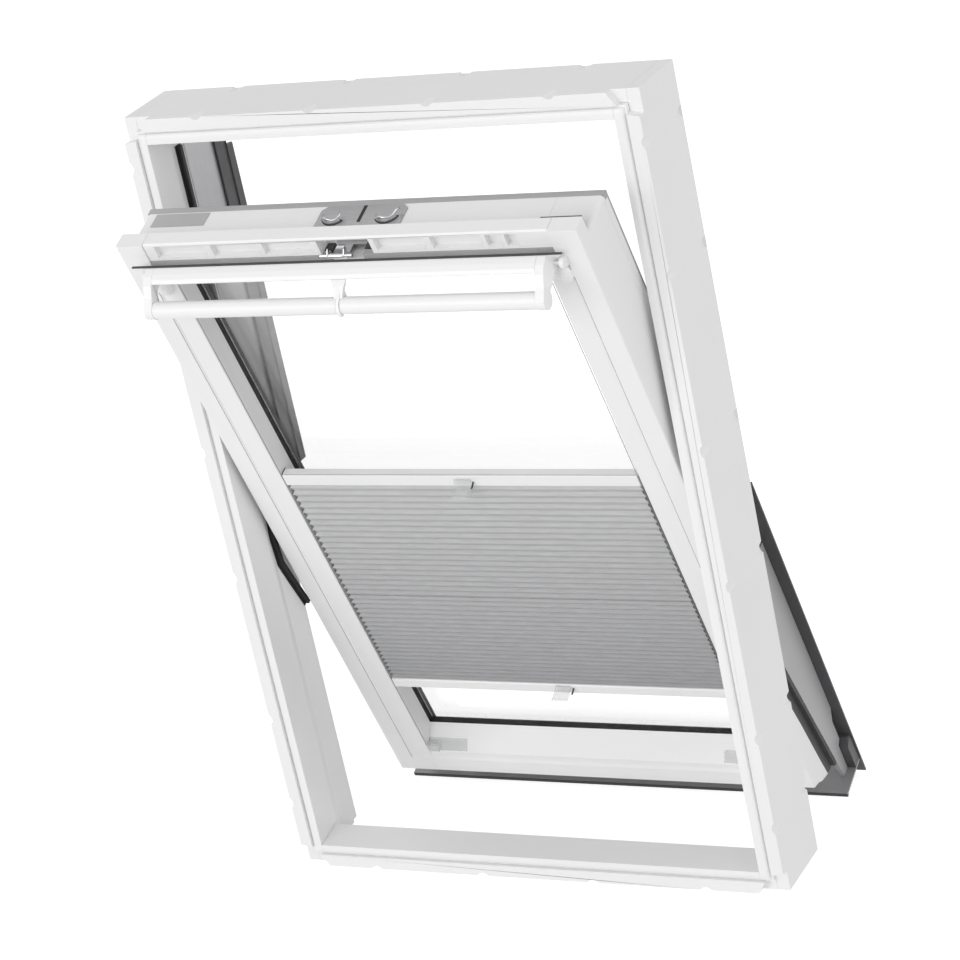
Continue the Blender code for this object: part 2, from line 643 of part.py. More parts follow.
def sash_stile(name, side, parent, surface):
    """Side member of the sash, with the ear that closes the vent bar's end and the handle's lug."""
    joint = HALF_SASH - STILE_STEP
    fold = joint + STILE_STEP_RUN / 2
    outline = [
        (REVEAL_X, FACE_STEP + 0.0012), (REVEAL_X + 0.0012, FACE_STEP), (fold - STILE_STEP_RUN, FACE_STEP), (fold, 0),
        (HALF_SASH - ARRIS, 0), (HALF_SASH - ARRIS * 0.3, ARRIS * 0.3),
        (HALF_SASH, ARRIS), (HALF_SASH, SASH_DEPTH), (REBATE_X + BEVEL_RUN, SASH_DEPTH), (REBATE_X, REBATE_BACK),
        (REBATE_X, REBATE_SEAT), (REVEAL_X, REBATE_SEAT)]
    stile = prism(name, sided(outline, side), "z", -0.040, SASH_HEIGHT, parent, surface)
    across = span(side, REVEAL_X - 0.01, HALF_SASH + 0.01)
    under = FACE_STEP + 0.001
    rise = RAIL_STEP + RAIL_STEP_RUN / 2
    low_face = [(under, -0.040), (0, -0.040), (0, rise - RAIL_STEP_RUN), (FACE_STEP, rise), (under, rise)]
    join(stile, prism(f"{name}_low_face", low_face, "x", *span(side, REVEAL_X, fold + 0.003), parent, None))
    ear = span(side, HALF_SASH - EAR_WIDTH + GAP, fold + 0.003)
    join(stile, box(f"{name}_ear_face", (ear[0], 0, SLOT_LOW), (ear[1], under, SASH_HEIGHT), parent, None))
    foot = step_profile()
    cut_prism(stile, "foot", [(-0.01, foot[0][1])] + foot + [(SASH_DEPTH + 0.01, foot[-1][1]),
                                                             (SASH_DEPTH + 0.01, -0.06), (-0.01, -0.06)], "x", *across)
    cut_box(stile, "top", (across[0], VENT_BAR_BACK, SASH_TOP), (across[1], 0.2, SASH_HEIGHT + 0.01))
    block = [(REBATE_SEAT - 0.004, REBATE_TOP), (REBATE_BACK, REBATE_TOP), (SASH_DEPTH, BEVEL_TOP),
             (SASH_DEPTH, SASH_TOP), (REBATE_SEAT - 0.004, SASH_TOP)]
    join(stile, prism(f"{name}_block", block, "x", *span(side, REVEAL_X, REBATE_X + BEVEL_RUN + 0.005), parent, None))
    corner = arc((HALF_SASH - TOP_CORNER_RADIUS, SASH_TOP - TOP_CORNER_RADIUS), TOP_CORNER_RADIUS, 0, 90, 6)
    corner = [(HALF_SASH + 0.004, SASH_TOP - TOP_CORNER_RADIUS)] + corner
    corner += [(HALF_SASH - TOP_CORNER_RADIUS, SASH_TOP + 0.004), (HALF_SASH + 0.004, SASH_TOP + 0.004)]
    cut_prism(stile, "corner", sided(corner, side), "y", VENT_BAR_BACK + 0.0002, 0.2)
    seat = span(side, REVEAL_X - 0.01, HALF_SASH - EAR_WIDTH + GAP)
    cut_box(stile, "bar_seat", (seat[0], -0.01, VENT_BAR_LOW - GAP),
            (seat[1], VENT_BAR_BACK + GAP, SASH_HEIGHT + 0.01))
    peg = span(side, REVEAL_X - PEG_REACH, REVEAL_X + 0.001)
    base = REVEAL_TOP + 2 * GAP
    join(stile, box(f"{name}_cord_peg", (peg[0], CORD_W - 0.0014, base), (peg[1], CORD_W + 0.0024, base + PEG_HEIGHT),
                    parent, None))
    cut_prism(stile, "seal_groove", ribbon(SASH_SEAL_PATH, SASH_SEAL_WIDTH), "x",
              *span(side, HALF_SASH - 0.003, HALF_SASH + 0.01))
    boss = bmesh.new()
    bmesh.ops.create_uvsphere(boss, u_segments=16, v_segments=10, radius=1.0)
    centre = Matrix.Translation((side * (HALF_SASH - BOSS_INSET), 0.001, HINGE_V - 0.0265))
    shape = centre @ Matrix.Diagonal((0.0145, 0.0095, 0.0175, 1))
    bmesh.ops.transform(boss, matrix=shape, verts=boss.verts)
    join(stile, mesh_object(f"{name}_boss", boss, parent, None))
    lug_in = lug_start()
    eye = arc((HINGE_W, HINGE_V), HINGE_EYE * 0.8, -100, -260, 8)
    lug = [(0.004, HINGE_V - 0.014)] + eye + [(0.004, HINGE_V + 0.006)]
    join(stile, prism(f"{name}_lug", lug, "x", *span(side, lug_in, lug_in + LUG_WIDTH), parent, None))
    pin_in = handle_edge(HINGE_V) - HANDLE_PLATE
    pin = span(side, pin_in, lug_in + 0.002)
    join(stile, rod(f"{name}_pin", HINGE_PIN, "x", *pin, (HINGE_W, HINGE_V), parent, None))
    return stile


def handle_edge(v):
    """Outer x of the handle's end plates along their back edge, which flares out towards the top."""
    bottom = HINGE_V - HINGE_EYE
    share = min(1.0, max(0.0, (v - bottom) / (HINGE_V + HANDLE_FRONT[0][1] - bottom)))
    return HANDLE_X + HANDLE_FLARE + (HANDLE_TOP_X - HANDLE_X - HANDLE_FLARE) * share * share


def lug_start():
    return handle_edge(HINGE_V + HINGE_EYE) + 0.0010


def sash_top_rail(parent, surface):
    """Top rail with the cavity that the latch carriage runs in."""
    bar_back = VENT_BAR_BACK + GAP
    outline = [
        (TOP_RAIL_FRONT, REVEAL_TOP), (REBATE_SEAT, REVEAL_TOP), (REBATE_SEAT, REBATE_TOP), (REBATE_BACK, REBATE_TOP),
        (SASH_DEPTH, BEVEL_TOP), (SASH_DEPTH, SASH_TOP), (bar_back, SASH_TOP), (bar_back, SLOT_LOW - GAP),
        (TOP_RAIL_FRONT, SLOT_LOW - GAP)]
    half = REVEAL_X - GAP
    rail = prism("sash_top_rail", outline, "x", -half, half, parent, surface)
    wide = HOOK_X + HOOK_RADIUS + WELL_MARGIN
    cut_box(rail, "carriage_well", (-wide, WELL_FRONT, CARRIAGE_FLOOR), (wide, WELL_BACK, SASH_TOP + 0.01))
    cut_box(rail, "link_way", (-LINK_WAY, 0.0, CARRIAGE_FLOOR), (LINK_WAY, WELL_FRONT + 0.001, SASH_TOP + 0.01))
    return rail


def sash_bottom_rail(parent, surface):
    """Bottom rail: its lower face, a recessed band above it and the slope up to the glass."""
    rise = RAIL_STEP + RAIL_STEP_RUN / 2
    outline = [
        (FACE_STEP, RAIL_FACE), (REBATE_SEAT, REVEAL_LOW), (REBATE_SEAT, REBATE_LOW), (REBATE_BACK, REBATE_LOW),
        (SASH_DEPTH, REBATE_LOW - REBATE_STEP), (SASH_DEPTH, step_profile()[-1][1])] + step_profile()[::-1]
    outline += [(0, rise - RAIL_STEP_RUN), (FACE_STEP, rise)]
    half = REVEAL_X - GAP
    return prism("sash_bottom_rail", outline, "x", -half, half, parent, surface)


def glazing(parent, glass, spacer, rubber):
    """Two panes, the spacer between them and the gasket between the rebate and the inner pane."""
    half = REBATE_X - GLASS_EDGE
    low = REBATE_LOW + GLASS_EDGE
    high = REBATE_TOP - GLASS_EDGE
    box("glass_inner_pane", (-half, GLASS_W, low), (half, GLASS_W + PANE, high), parent, glass)
    box("glass_outer_pane", (-half, OUTER_PANE_W, low), (half, OUTER_PANE_W + PANE, high), parent, glass)
    outer = (half - SPACER_INSET, low + SPACER_INSET, high - SPACER_INSET)
    inner = (outer[0] - SPACER_WIDTH, outer[1] + SPACER_WIDTH, outer[2] - SPACER_WIDTH)
    ring_plate("glass_spacer", outer, inner, GLASS_W + PANE + GAP, OUTER_PANE_W - GAP, parent, spacer)
    outer = (REBATE_X - GAP, REBATE_LOW + GAP, REBATE_TOP - GAP)
    inner = (REVEAL_X + 0.0006, REVEAL_LOW + 0.0006, REVEAL_TOP - 0.0006)
    ring_plate("glazing_gasket", outer, inner, REBATE_SEAT + GAP, REBATE_SEAT + GAP + GASKET_DEPTH, parent, rubber)


def clad_section(outer, wall, flat, reach):
    """Section of the sash cladding from its outer edge to its lap on the glass, as (position, w).

    outer is the sash's outer face, wall the rebate's wall, flat where the outer face ends and reach the lap.
    """
    inwards = -1 if wall < outer else 1
    lap = wall + inwards * reach
    lid = SASH_DEPTH + GAP
    top = lid + SASH_CLAD
    return [
        (outer, lid), (outer, top), (flat + inwards * 0.001, top), (lap, GLASS_BACK + GAP + 0.0035),
        (lap, GLASS_BACK + GAP), (wall + inwards * GAP, GLASS_BACK + GAP), (wall, REBATE_BACK + 2 * GAP),
        (flat, lid)]


def sash_cladding(parent, surface):
    """Aluminium over the outside of the sash: two sides, a top mitred to them and a bottom with its apron."""
    lap = (REBATE_X - SASH_CLAD_LAP, REBATE_TOP - SASH_CLAD_LAP)
    mitre = [lap, (REBATE_X, REBATE_TOP), (REBATE_X + BEVEL_RUN, BEVEL_TOP), (HALF_SASH, SASH_TOP),
             (HALF_SASH + 0.01, SASH_TOP + 0.007)]
    for label, side in SIDES:
        outline = clad_section(HALF_SASH, REBATE_X, REBATE_X + BEVEL_RUN, SASH_CLAD_LAP)
        clad = prism(f"sash_cladding_{label}", sided(outline, side), "z", step_profile()[-1][1], SASH_TOP, parent,
                     surface)
        above = [(x, v - GAP) for x, v in mitre] + [(lap[0], SASH_TOP + 0.05)]
        cut_prism(clad, "mitre", sided(above, side), "y", REBATE_SEAT, 2 * SASH_DEPTH)
    top = [(w, v) for v, w in clad_section(SASH_TOP, REBATE_TOP, BEVEL_TOP, SASH_CLAD_LAP)]
    lid = prism("sash_cladding_top", top, "x", -HALF_SASH, HALF_SASH, parent, surface)
    for label, side in SIDES:
        below = mitre + [(HALF_SASH + 0.01, lap[1] - 0.01), (lap[0], lap[1] - 0.01)]
        cut_prism(lid, f"mitre_{label}", sided(below, side), "y", REBATE_SEAT, 2 * SASH_DEPTH)
    half = lap[0] - GAP
    bevel_low = REBATE_LOW - REBATE_STEP
    lower = [(w, v) for v, w in clad_section(-APRON_DROP, REBATE_LOW, bevel_low, LOW_CLAD_LAP)]
    prism("sash_cladding_bottom", lower, "x", -half, half, parent, surface)


def drip_plate(parent, surface):
    """Plate below the sash that throws rain clear of the frame."""
    half = HALF_SASH + DRIP_OVERHANG
    top = -APRON_DROP - GAP
    low = top - DRIP_THICKNESS
    outline = [(DRIP_FRONT, low), (DRIP_FRONT, top), (DRIP_BACK - 2 * GAP, top), (DRIP_BACK - 2 * GAP, top - 0.003),
               (DRIP_FRONT + 0.004, top - 0.003), (DRIP_FRONT + 0.004, low)]
    return prism("drip_plate", outline, "x", -half, half, parent, surface)


def side_cover(name, side, parent, surface):
    """White moulded cover behind the sash's side seal, stepped back above it and round the corner block."""
    outline = [
        (0.0765, -APRON_DROP), (0.0723, -0.0430), (0.0693, -0.0130), (0.0635, 0.0360), (0.0573, 0.0840),
        (0.0517, 0.1310), (0.0450, 0.1865), (0.0315, 0.3000), (0.0275, COVER_STEP), (0.0760, COVER_STEP + 0.010),
        (0.0810, COVER_TOP), (COVER_BACK, COVER_TOP),
        (COVER_BACK, 0.049), (COVER_BACK - 0.010, 0.030), (COVER_BACK - 0.010, -0.009), (COVER_BACK - 0.0194, -0.014),
        (COVER_BACK - 0.0194, -APRON_DROP)]
    start = HALF_SASH + GAP
    return prism(name, outline, "x", *span(side, start, start + COVER_THICKNESS), parent, surface)


def side_flange(name, side, parent, surface):
    """Dark flange along the lower half of the sash that laps over the frame's back, with its corner block."""
    inner = HALF_SASH - FLANGE_LAP
    front = COVER_BACK + GAP
    back = front + FLANGE_THICKNESS
    outline = [(inner, FLANGE_BOTTOM), (HALF_SASH + FLANGE_WIDTH_LOW, FLANGE_BOTTOM),
               (HALF_SASH + FLANGE_WIDTH_TOP, FLANGE_TOP), (inner, FLANGE_TOP)]
    flange = prism(name, sided(outline, side), "y", front, back, parent, surface)
    start = HALF_SASH + 0.0008
    end = start + BLOCK_WIDTH
    face = COVER_BACK - BLOCK_DEPTH
    corner = [(face, -APRON_DROP), (back - 0.0005, -APRON_DROP), (back - 0.0005, BLOCK_TOP),
              (COVER_BACK - 0.0060, BLOCK_TOP), (COVER_BACK - 0.0150, BLOCK_TOP - 0.0050), (face, BLOCK_TOP - 0.0110)]
    join(flange, prism(f"{name}_corner", corner, "x", *span(side, start, end), parent, None))
    waste = arc((end - BLOCK_ROUND, BLOCK_TOP - BLOCK_ROUND), BLOCK_ROUND, 0, 90, 5)
    waste += [(end - BLOCK_ROUND, BLOCK_TOP + 0.01), (end + 0.01, BLOCK_TOP + 0.01),
              (end + 0.01, BLOCK_TOP - BLOCK_ROUND)]
    cut_prism(flange, "corner_round", sided(waste, side), "y", face - 0.01, front)
    return flange


def sash_seal(name, side, parent, surface):
    """Rubber seal in the sash's side that meets the frame's lower wall."""
    bottom = HALF_SASH - 0.003 + GAP
    depth = span(side, bottom, HALF_SASH - 0.0004)
    body = prism(name, ribbon(SASH_SEAL_PATH, SASH_SEAL_WIDTH - 2 * GAP, GAP), "x", *depth, parent, surface)
    lip_path = [(w + 0.0078, v) for w, v in SASH_SEAL_PATH]
    reach = span(side, bottom + 0.001, HALF_SASH + 0.0068)
    lip = prism(f"{name}_lip", ribbon(lip_path, SASH_SEAL_WIDTH * 0.2, 2 * GAP), "x", *reach, parent, None)
    join(body, lip)
    floor = [(-0.01, 0.0002 + step_profile()[0][1])] + [(w, v + 0.0002) for w, v in step_profile()]
    floor += [(0.12, floor[-1][1]), (0.12, -0.09), (-0.01, -0.09)]
    cut_prism(body, "foot", floor, "x", *span(side, HALF_SASH - 0.02, HALF_SASH + 0.02))
    return body


def sash_pivot_plate(name, side, parent, surface):
    """Plate on the stile with the hole that turns on the frame's pin."""
    x = span(side, HALF_SASH + GAP, HALF_SASH + GAP + PLATE_THICKNESS)
    low = PIVOT_V - PLATE_HEIGHT * 0.4
    plate = box(name, (x[0], PIVOT_W - 0.030, low), (x[1], PIVOT_W + 0.012, low + PLATE_HEIGHT * 0.8), parent, surface)
    cut(plate, rod(f"{name}_hole", PIN_RADIUS + GAP, "x", *span(side, HALF_SASH - 0.01, HALF_SASH + 0.01),
                   (PIVOT_W, PIVOT_V), parent, None, 32))
    return plate


def vent_front(parent, surface):
    """Moulded bar along the top of the sash, with its row of pockets."""
    half = HALF_SASH - EAR_WIDTH - GAP
    outline = [(VENT_BAR_FRONT, VENT_BAR_LOW), (VENT_BAR_FRONT, SASH_HEIGHT - 0.0022),
               (VENT_BAR_FRONT + 0.0022, SASH_HEIGHT), (VENT_BAR_BACK, SASH_HEIGHT), (VENT_BAR_BACK, VENT_BAR_LOW)]
    bar = prism("vent_front", outline, "x", -half, half, parent, surface)
    top = SASH_HEIGHT - 0.0045
    low = VENT_BAR_LOW + 0.0045
    pockets = ((-0.2866, -0.2085), (-0.1984, -0.1244), (-0.1187, -0.0440), (0.0500, 0.1232), (0.1330, 0.2056),
               (0.2125, 0.2356), (0.2400, 0.2584))
    for i, (start, end) in enumerate(pockets):
        outline = [(start, low), (end, low), (end, top), (start, top)]
        cut_prism(bar, f"pocket_{i}", outline, "y", -0.01, VENT_BAR_FRONT + 0.009)
    cut_box(bar, "latch_pocket", (-0.0353, -0.01, VENT_BAR_LOW - 0.01), (0.0426, VENT_BAR_BACK + 0.01, top))
    return bar


def handle_outline():
    """Outline (x, w, v) of a handle end's outer face, and the rest of it, which flares out round the hinge."""
    top_back, front = HANDLE_FRONT[0], HANDLE_FRONT[1:]
    outline = [(HANDLE_X, w, HINGE_V + v) for w, v in front]
    outline += [(HANDLE_X, w, v) for w, v in arc((TUBE_W, TUBE_V), TUBE_RADIUS + 0.0010, 150, 375, 12)]
    outline += [(HANDLE_X + HANDLE_FLARE, w, HINGE_V + v) for w, v in HANDLE_BACK]
    flared = [(handle_edge(v), w, v) for w, v in arc((HINGE_W, HINGE_V), HINGE_EYE, -110, 75, 8)]
    return outline, flared + [(HANDLE_TOP_X, top_back[0], HINGE_V + top_back[1])]


def handle_end(name, side, parent, surface):
    """End plate of the handle, flat inside and flared outside, with the eye for its hinge pin."""
    bm = bmesh.new()
    plain, flared = handle_outline()
    outer = [bm.verts.new((side * x, w, v)) for x, w, v in plain + flared]
    inner = [bm.verts.new((side * (HANDLE_X - HANDLE_PLATE), w, v)) for x, w, v in plain + flared]
    bm.faces.new(outer[:len(plain) + 1])
    for i in range(len(plain), len(outer) - 1):
        bm.faces.new((outer[0], outer[i], outer[i + 1]))
    bm.faces.new(inner)
    for i in range(len(outer)):
        j = (i + 1) % len(outer)
        bm.faces.new((outer[i], outer[j], inner[j], inner[i]))
    bmesh.ops.triangulate(bm, faces=[f for f in bm.faces if len(f.verts) > 4])
    end = mesh_object(name, bm, parent, surface)
    cut(end, rod(f"{name}_eye", HINGE_PIN + GAP, "x",
                 *span(side, HANDLE_X - 2 * HANDLE_PLATE, HALF_SASH), (HINGE_W, HINGE_V), parent, None))
    return end


def vent_flap(parent, surface):
    """Curved flap between the end plates that closes the vent slot."""
    outline = [(w, HINGE_V + v) for w, v in FLAP_PROFILE]
    half = HANDLE_X - HANDLE_PLATE - GAP
    flap = prism("vent_flap", outline, "x", -half, half, parent, surface)
    smooth(flap, 40)
    return flap


def flap_seal(parent, surface):
    outline = [(w, HINGE_V + v) for w, v in FLAP_SEAL_PROFILE]
    return prism("flap_seal", outline, "x", -HANDLE_TOP_X + 0.001, HANDLE_TOP_X - 0.001, parent, surface)


def handle_tube(parent, surface):
    half = HANDLE_X - HANDLE_PLATE - GAP
    return rod("handle_tube", TUBE_RADIUS, "x", -half, half, (TUBE_W, TUBE_V), parent, surface, 32)


def handle_bracket(parent, surface):
    """Middle bracket from the flap down to a saddle on the tube, flared at the top."""
    outline = [(w, HINGE_V + v) for w, v in BRACKET_FRONT]
    outline += arc((TUBE_W, TUBE_V), TUBE_RADIUS + GAP, 95, 25, 6)
    outline += [(w, HINGE_V + v) for w, v in BRACKET_BACK]
    bm = bmesh.new()
    rings = []
    for side in (-1, 1):
        ring = []
        for w, v in outline:
            flare = max(0.0, (v - HINGE_V + 0.004) / 0.012)
            ring.append(bm.verts.new((side * (0.0060 + 0.0060 * flare), w, v)))
        rings.append(ring)
    count = len(outline)
    bm.faces.new(rings[0])
    bm.faces.new(rings[1])
    for i in range(count):
        j = (i + 1) % count
        bm.faces.new((rings[0][i], rings[0][j], rings[1][j], rings[1][i]))
    bmesh.ops.triangulate(bm, faces=[f for f in bm.faces if len(f.verts) > 4])
    return mesh_object("handle_bracket", bm, parent, surface)


def kidney(centre_x, centre_w, side, radius, width, spare=0):
    """A curved slot's outline in (x, w), which spare lengthens by that many degrees at each end."""
    start, end = (200 - spare, 320 + spare) if side < 0 else (220 - spare, 340 + spare)
    outer = arc((centre_x, centre_w), radius + width / 2, start, end, 8)
    inner = arc((centre_x, centre_w), radius - width / 2, end, start, 8)
    return outer + inner


def latch_plate(parent, surface):
    """Steel cover on the sash's top with two curved slots for the hooks and a middle slot."""
    low = SASH_TOP + GAP
    high = low + LATCH_PLATE_THICKNESS
    half = LATCH_PLATE_WIDTH / 2
    corner = 0.008
    outline = [(-half, LATCH_PLATE_FRONT), (half, LATCH_PLATE_FRONT), (half, LATCH_PLATE_BACK - corner),
               (half - corner, LATCH_PLATE_BACK), (-half + corner, LATCH_PLATE_BACK),
               (-half, LATCH_PLATE_BACK - corner)]
    plate = prism("latch_plate", outline, "z", low, high, parent, surface)
    for side in (-1, 1):
        slot = kidney(side * HOOK_X, HOOK_CENTRE_W, side, HOOK_RADIUS, HOOK_WIDTH + 0.003, 10)
        cut_prism(plate, f"slot_{side}", slot, "z", low - 0.01, high + 0.01)
    cut_box(plate, "slot_middle", (-0.0015, LATCH_PLATE_FRONT + 0.006, low - 0.01),
            (0.0025, LATCH_PLATE_BACK - 0.003, high + 0.01))
    return plate


def latch_carriage(parent, surface):
    """Carriage under the plate that carries both hooks up through their slots."""
    high = CARRIAGE_LOW + CARRIAGE_THICKNESS
    wide = HOOK_X + HOOK_RADIUS + WELL_MARGIN - GAP
    carriage = box("latch_carriage", (-wide, WELL_FRONT + GAP, CARRIAGE_LOW), (wide, WELL_BACK - GAP, high), parent,
                   surface)
    tip = SASH_TOP + GAP + LATCH_PLATE_THICKNESS + HOOK_PROUD
    for side in (-1, 1):
        hook = kidney(side * HOOK_X, HOOK_CENTRE_W, side, HOOK_RADIUS, HOOK_WIDTH)
        join(carriage, prism(f"latch_carriage_hook_{side}", hook, "z", CARRIAGE_LOW + 0.001, tip, parent, None))
    join(carriage, box("latch_carriage_arm", (LINK_X - 0.0060, 0.0120, CARRIAGE_LOW + 0.0003),
                       (LINK_X + 0.0060, WELL_FRONT + 0.0040, high - 0.0003), parent, None))
    return carriage


def latch_link(parent, surface):
    """Chromed bar in front of the vent bar, on a cranked tail that runs back to the carriage."""
    link = rod("latch_link", LINK_RADIUS, "x", LINK_X - LINK_HALF, LINK_X + LINK_HALF, (LINK_W, LINK_V), parent,
               surface, 20)
    low = CARRIAGE_LOW + 0.0003
    crank, back = 0.0040, 0.0120 - GAP
    tail = [(LINK_W, LINK_V - 0.0012), (crank, LINK_V - 0.0012), (crank, low), (back, low), (back, LINK_V + 0.0012),
            (LINK_W, LINK_V + 0.0012)]
    join(link, prism("latch_link_tail", tail, "x", LINK_X - 0.0060, LINK_X + 0.0060, parent, None))
    return link


def blind_fabric(parent, surface):
    """Pleated fabric between the rails, its pleats closing up towards the bottom."""
    low = BOTTOM_RAIL_HIGH + GAP
    high = TOP_RAIL_LOW - GAP
    front, back = [], []
    for i in range(2 * PLEATS + 1):
        share = i / (2 * PLEATS)
        eased = (share + (PLEAT_GROWTH - 1) * share * share / 2) / (1 + (PLEAT_GROWTH - 1) / 2)
        v = low + (high - low) * eased
        reach = PLEAT_DEPTH / 2 if i % 2 else PLEAT_WEB / 2
        front.append((BLIND_W - reach, v))
        back.append((BLIND_W + reach, v))
    half = BLIND_HALF - FABRIC_INSET
    return prism("blind_fabric", front + back[::-1], "x", -half, half, parent, surface)


def blind_rail(name, outline, low, high, parent, surface):
    """Rail of the blind, its ends notched in front for the cords it slides along."""
    rail = prism(name, outline, "x", -BLIND_HALF, BLIND_HALF, parent, surface)
    for label, side in SIDES:
        x = span(side, CORD_X - CORD_NOTCH_IN, BLIND_HALF + 0.01)
        cut_box(rail, f"cord_notch_{label}", (x[0], CORD_W - 0.01, low - 0.01),
                (x[1], CORD_W + CORD_NOTCH_BACK, high + 0.01))
    return rail


def blind_rails(parent, surface):
    """Top rail with the strip snapped in behind its front lip, and the bottom rail."""
    front = BLIND_W - BLIND_DEPTH / 2
    back = BLIND_W + BLIND_DEPTH / 2
    low, high = TOP_RAIL_LOW, TOP_RAIL_HIGH
    lip = front + TOP_RAIL_LIP
    outline = [(front + RAIL_EASE, low), (front, low + RAIL_EASE), (front, high - TOP_RAIL_LIP / 2),
               (front + TOP_RAIL_LIP / 2, high), (lip, high), (lip, TOP_RAIL_SPLIT), (back, TOP_RAIL_SPLIT),
               (back, low + RAIL_EASE), (back - RAIL_EASE, low)]
    blind_rail("blind_top_rail", outline, low, high, parent, surface)
    inner, base, crest = lip + GAP, TOP_RAIL_SPLIT + GAP, high - GAP
    outline = [(inner, base), (inner, crest - RAIL_EASE), (inner + RAIL_EASE, crest), (back - RAIL_EASE, crest),
               (back, crest - RAIL_EASE), (back, base)]
    blind_rail("blind_top_strip", outline, low, high, parent, surface)
    low, high = BOTTOM_RAIL_LOW, BOTTOM_RAIL_HIGH
    outline = [(front + RAIL_EASE, low), (front, low + RAIL_EASE), (front, high - RAIL_EASE),
               (front + RAIL_EASE, high), (back - RAIL_EASE, high), (back, high - RAIL_EASE), (back, low + RAIL_EASE),
               (back - RAIL_EASE, low)]
    blind_rail("blind_bottom_rail", outline, low, high, parent, surface)


def blind_grip(name, base, drop, parent, surface):
    """Clear grip on the front of a rail: it hangs from base by drop, and its tab reaches into the room."""
    front = BLIND_W - BLIND_DEPTH / 2 - GAP
    outline = [(0, 0), (0, -0.0040), (-0.0040, -drop - 0.0008), (-0.0232, -drop - 0.0032), (-0.0236, -drop + 0.0002),
               (-0.0222, -drop + 0.0004), (-0.0215, -drop - 0.0012), (-0.0055, -drop + 0.0012), (-0.0018, 0)]
    outline = [(front + w, base + v) for w, v in outline]
    half = GRIP_WIDTH / 2
    return prism(name, outline, "x", GRIP_X - half, GRIP_X + half, parent, surface)


def on_slope(w):
    """Height of the bottom rail's slope at a depth w."""
    return RAIL_FACE + RAIL_SLOPE * (w - FACE_STEP) / (REBATE_SEAT - FACE_STEP)


def cord_bracket(name, side, parent, surface):
    """Clear bracket on the bottom rail: a plate on the slope and the clip that holds a cord's lower end."""
    end = REVEAL_X - 0.00075
    front, back = 0.0040, 0.0175
    low_end, high_end = on_slope(front) + GAP, on_slope(back) + GAP
    plate = [(front, low_end), (back, high_end), (back, high_end + BRACKET_PLATE), (front, low_end + BRACKET_PLATE)]
    bracket = prism(name, plate, "x", *span(side, end - BRACKET_LENGTH, end), parent, surface)
    nose, heel = CORD_W - 0.0014, 0.0100
    clip = [(nose, RAIL_FACE + 0.0007), (heel, on_slope(heel) + GAP), (heel, BRACKET_TOP), (nose, BRACKET_TOP)]
    join(bracket, prism(f"{name}_clip", clip, "x", *span(side, end - BRACKET_CLIP, end), parent, None))
    return bracket


def tension_cord(name, side, parent, surface):
    """Taut cord from its bracket up to the peg on the stile, which the blind slides along."""
    return rod(name, CORD_RADIUS, "z", BRACKET_TOP + GAP, REVEAL_TOP + GAP, (side * CORD_X, CORD_W), parent, surface,
               8)


def label_plate(parent, surface):
    """Bare plate on the sash's top face, near its left end."""
    low = SASH_TOP + GAP
    left = -HALF_SASH + TOP_CORNER_RADIUS + LABEL_INSET
    return box("label_plate", (left, LABEL_FRONT, low), (left + LABEL_LENGTH, LABEL_FRONT + LABEL_WIDTH, low + 0.0006),
               parent, surface)


def vent_seal(name, side, parent, surface):
    """Seal in the slot below the vent bar, to one side of the latch."""
    x = span(side, LINK_WAY, REVEAL_X - GAP)
    return box(name, (x[0], 0.0130, SLOT_LOW), (x[1], VENT_BAR_BACK - GAP, VENT_BAR_LOW - GAP), parent, surface)


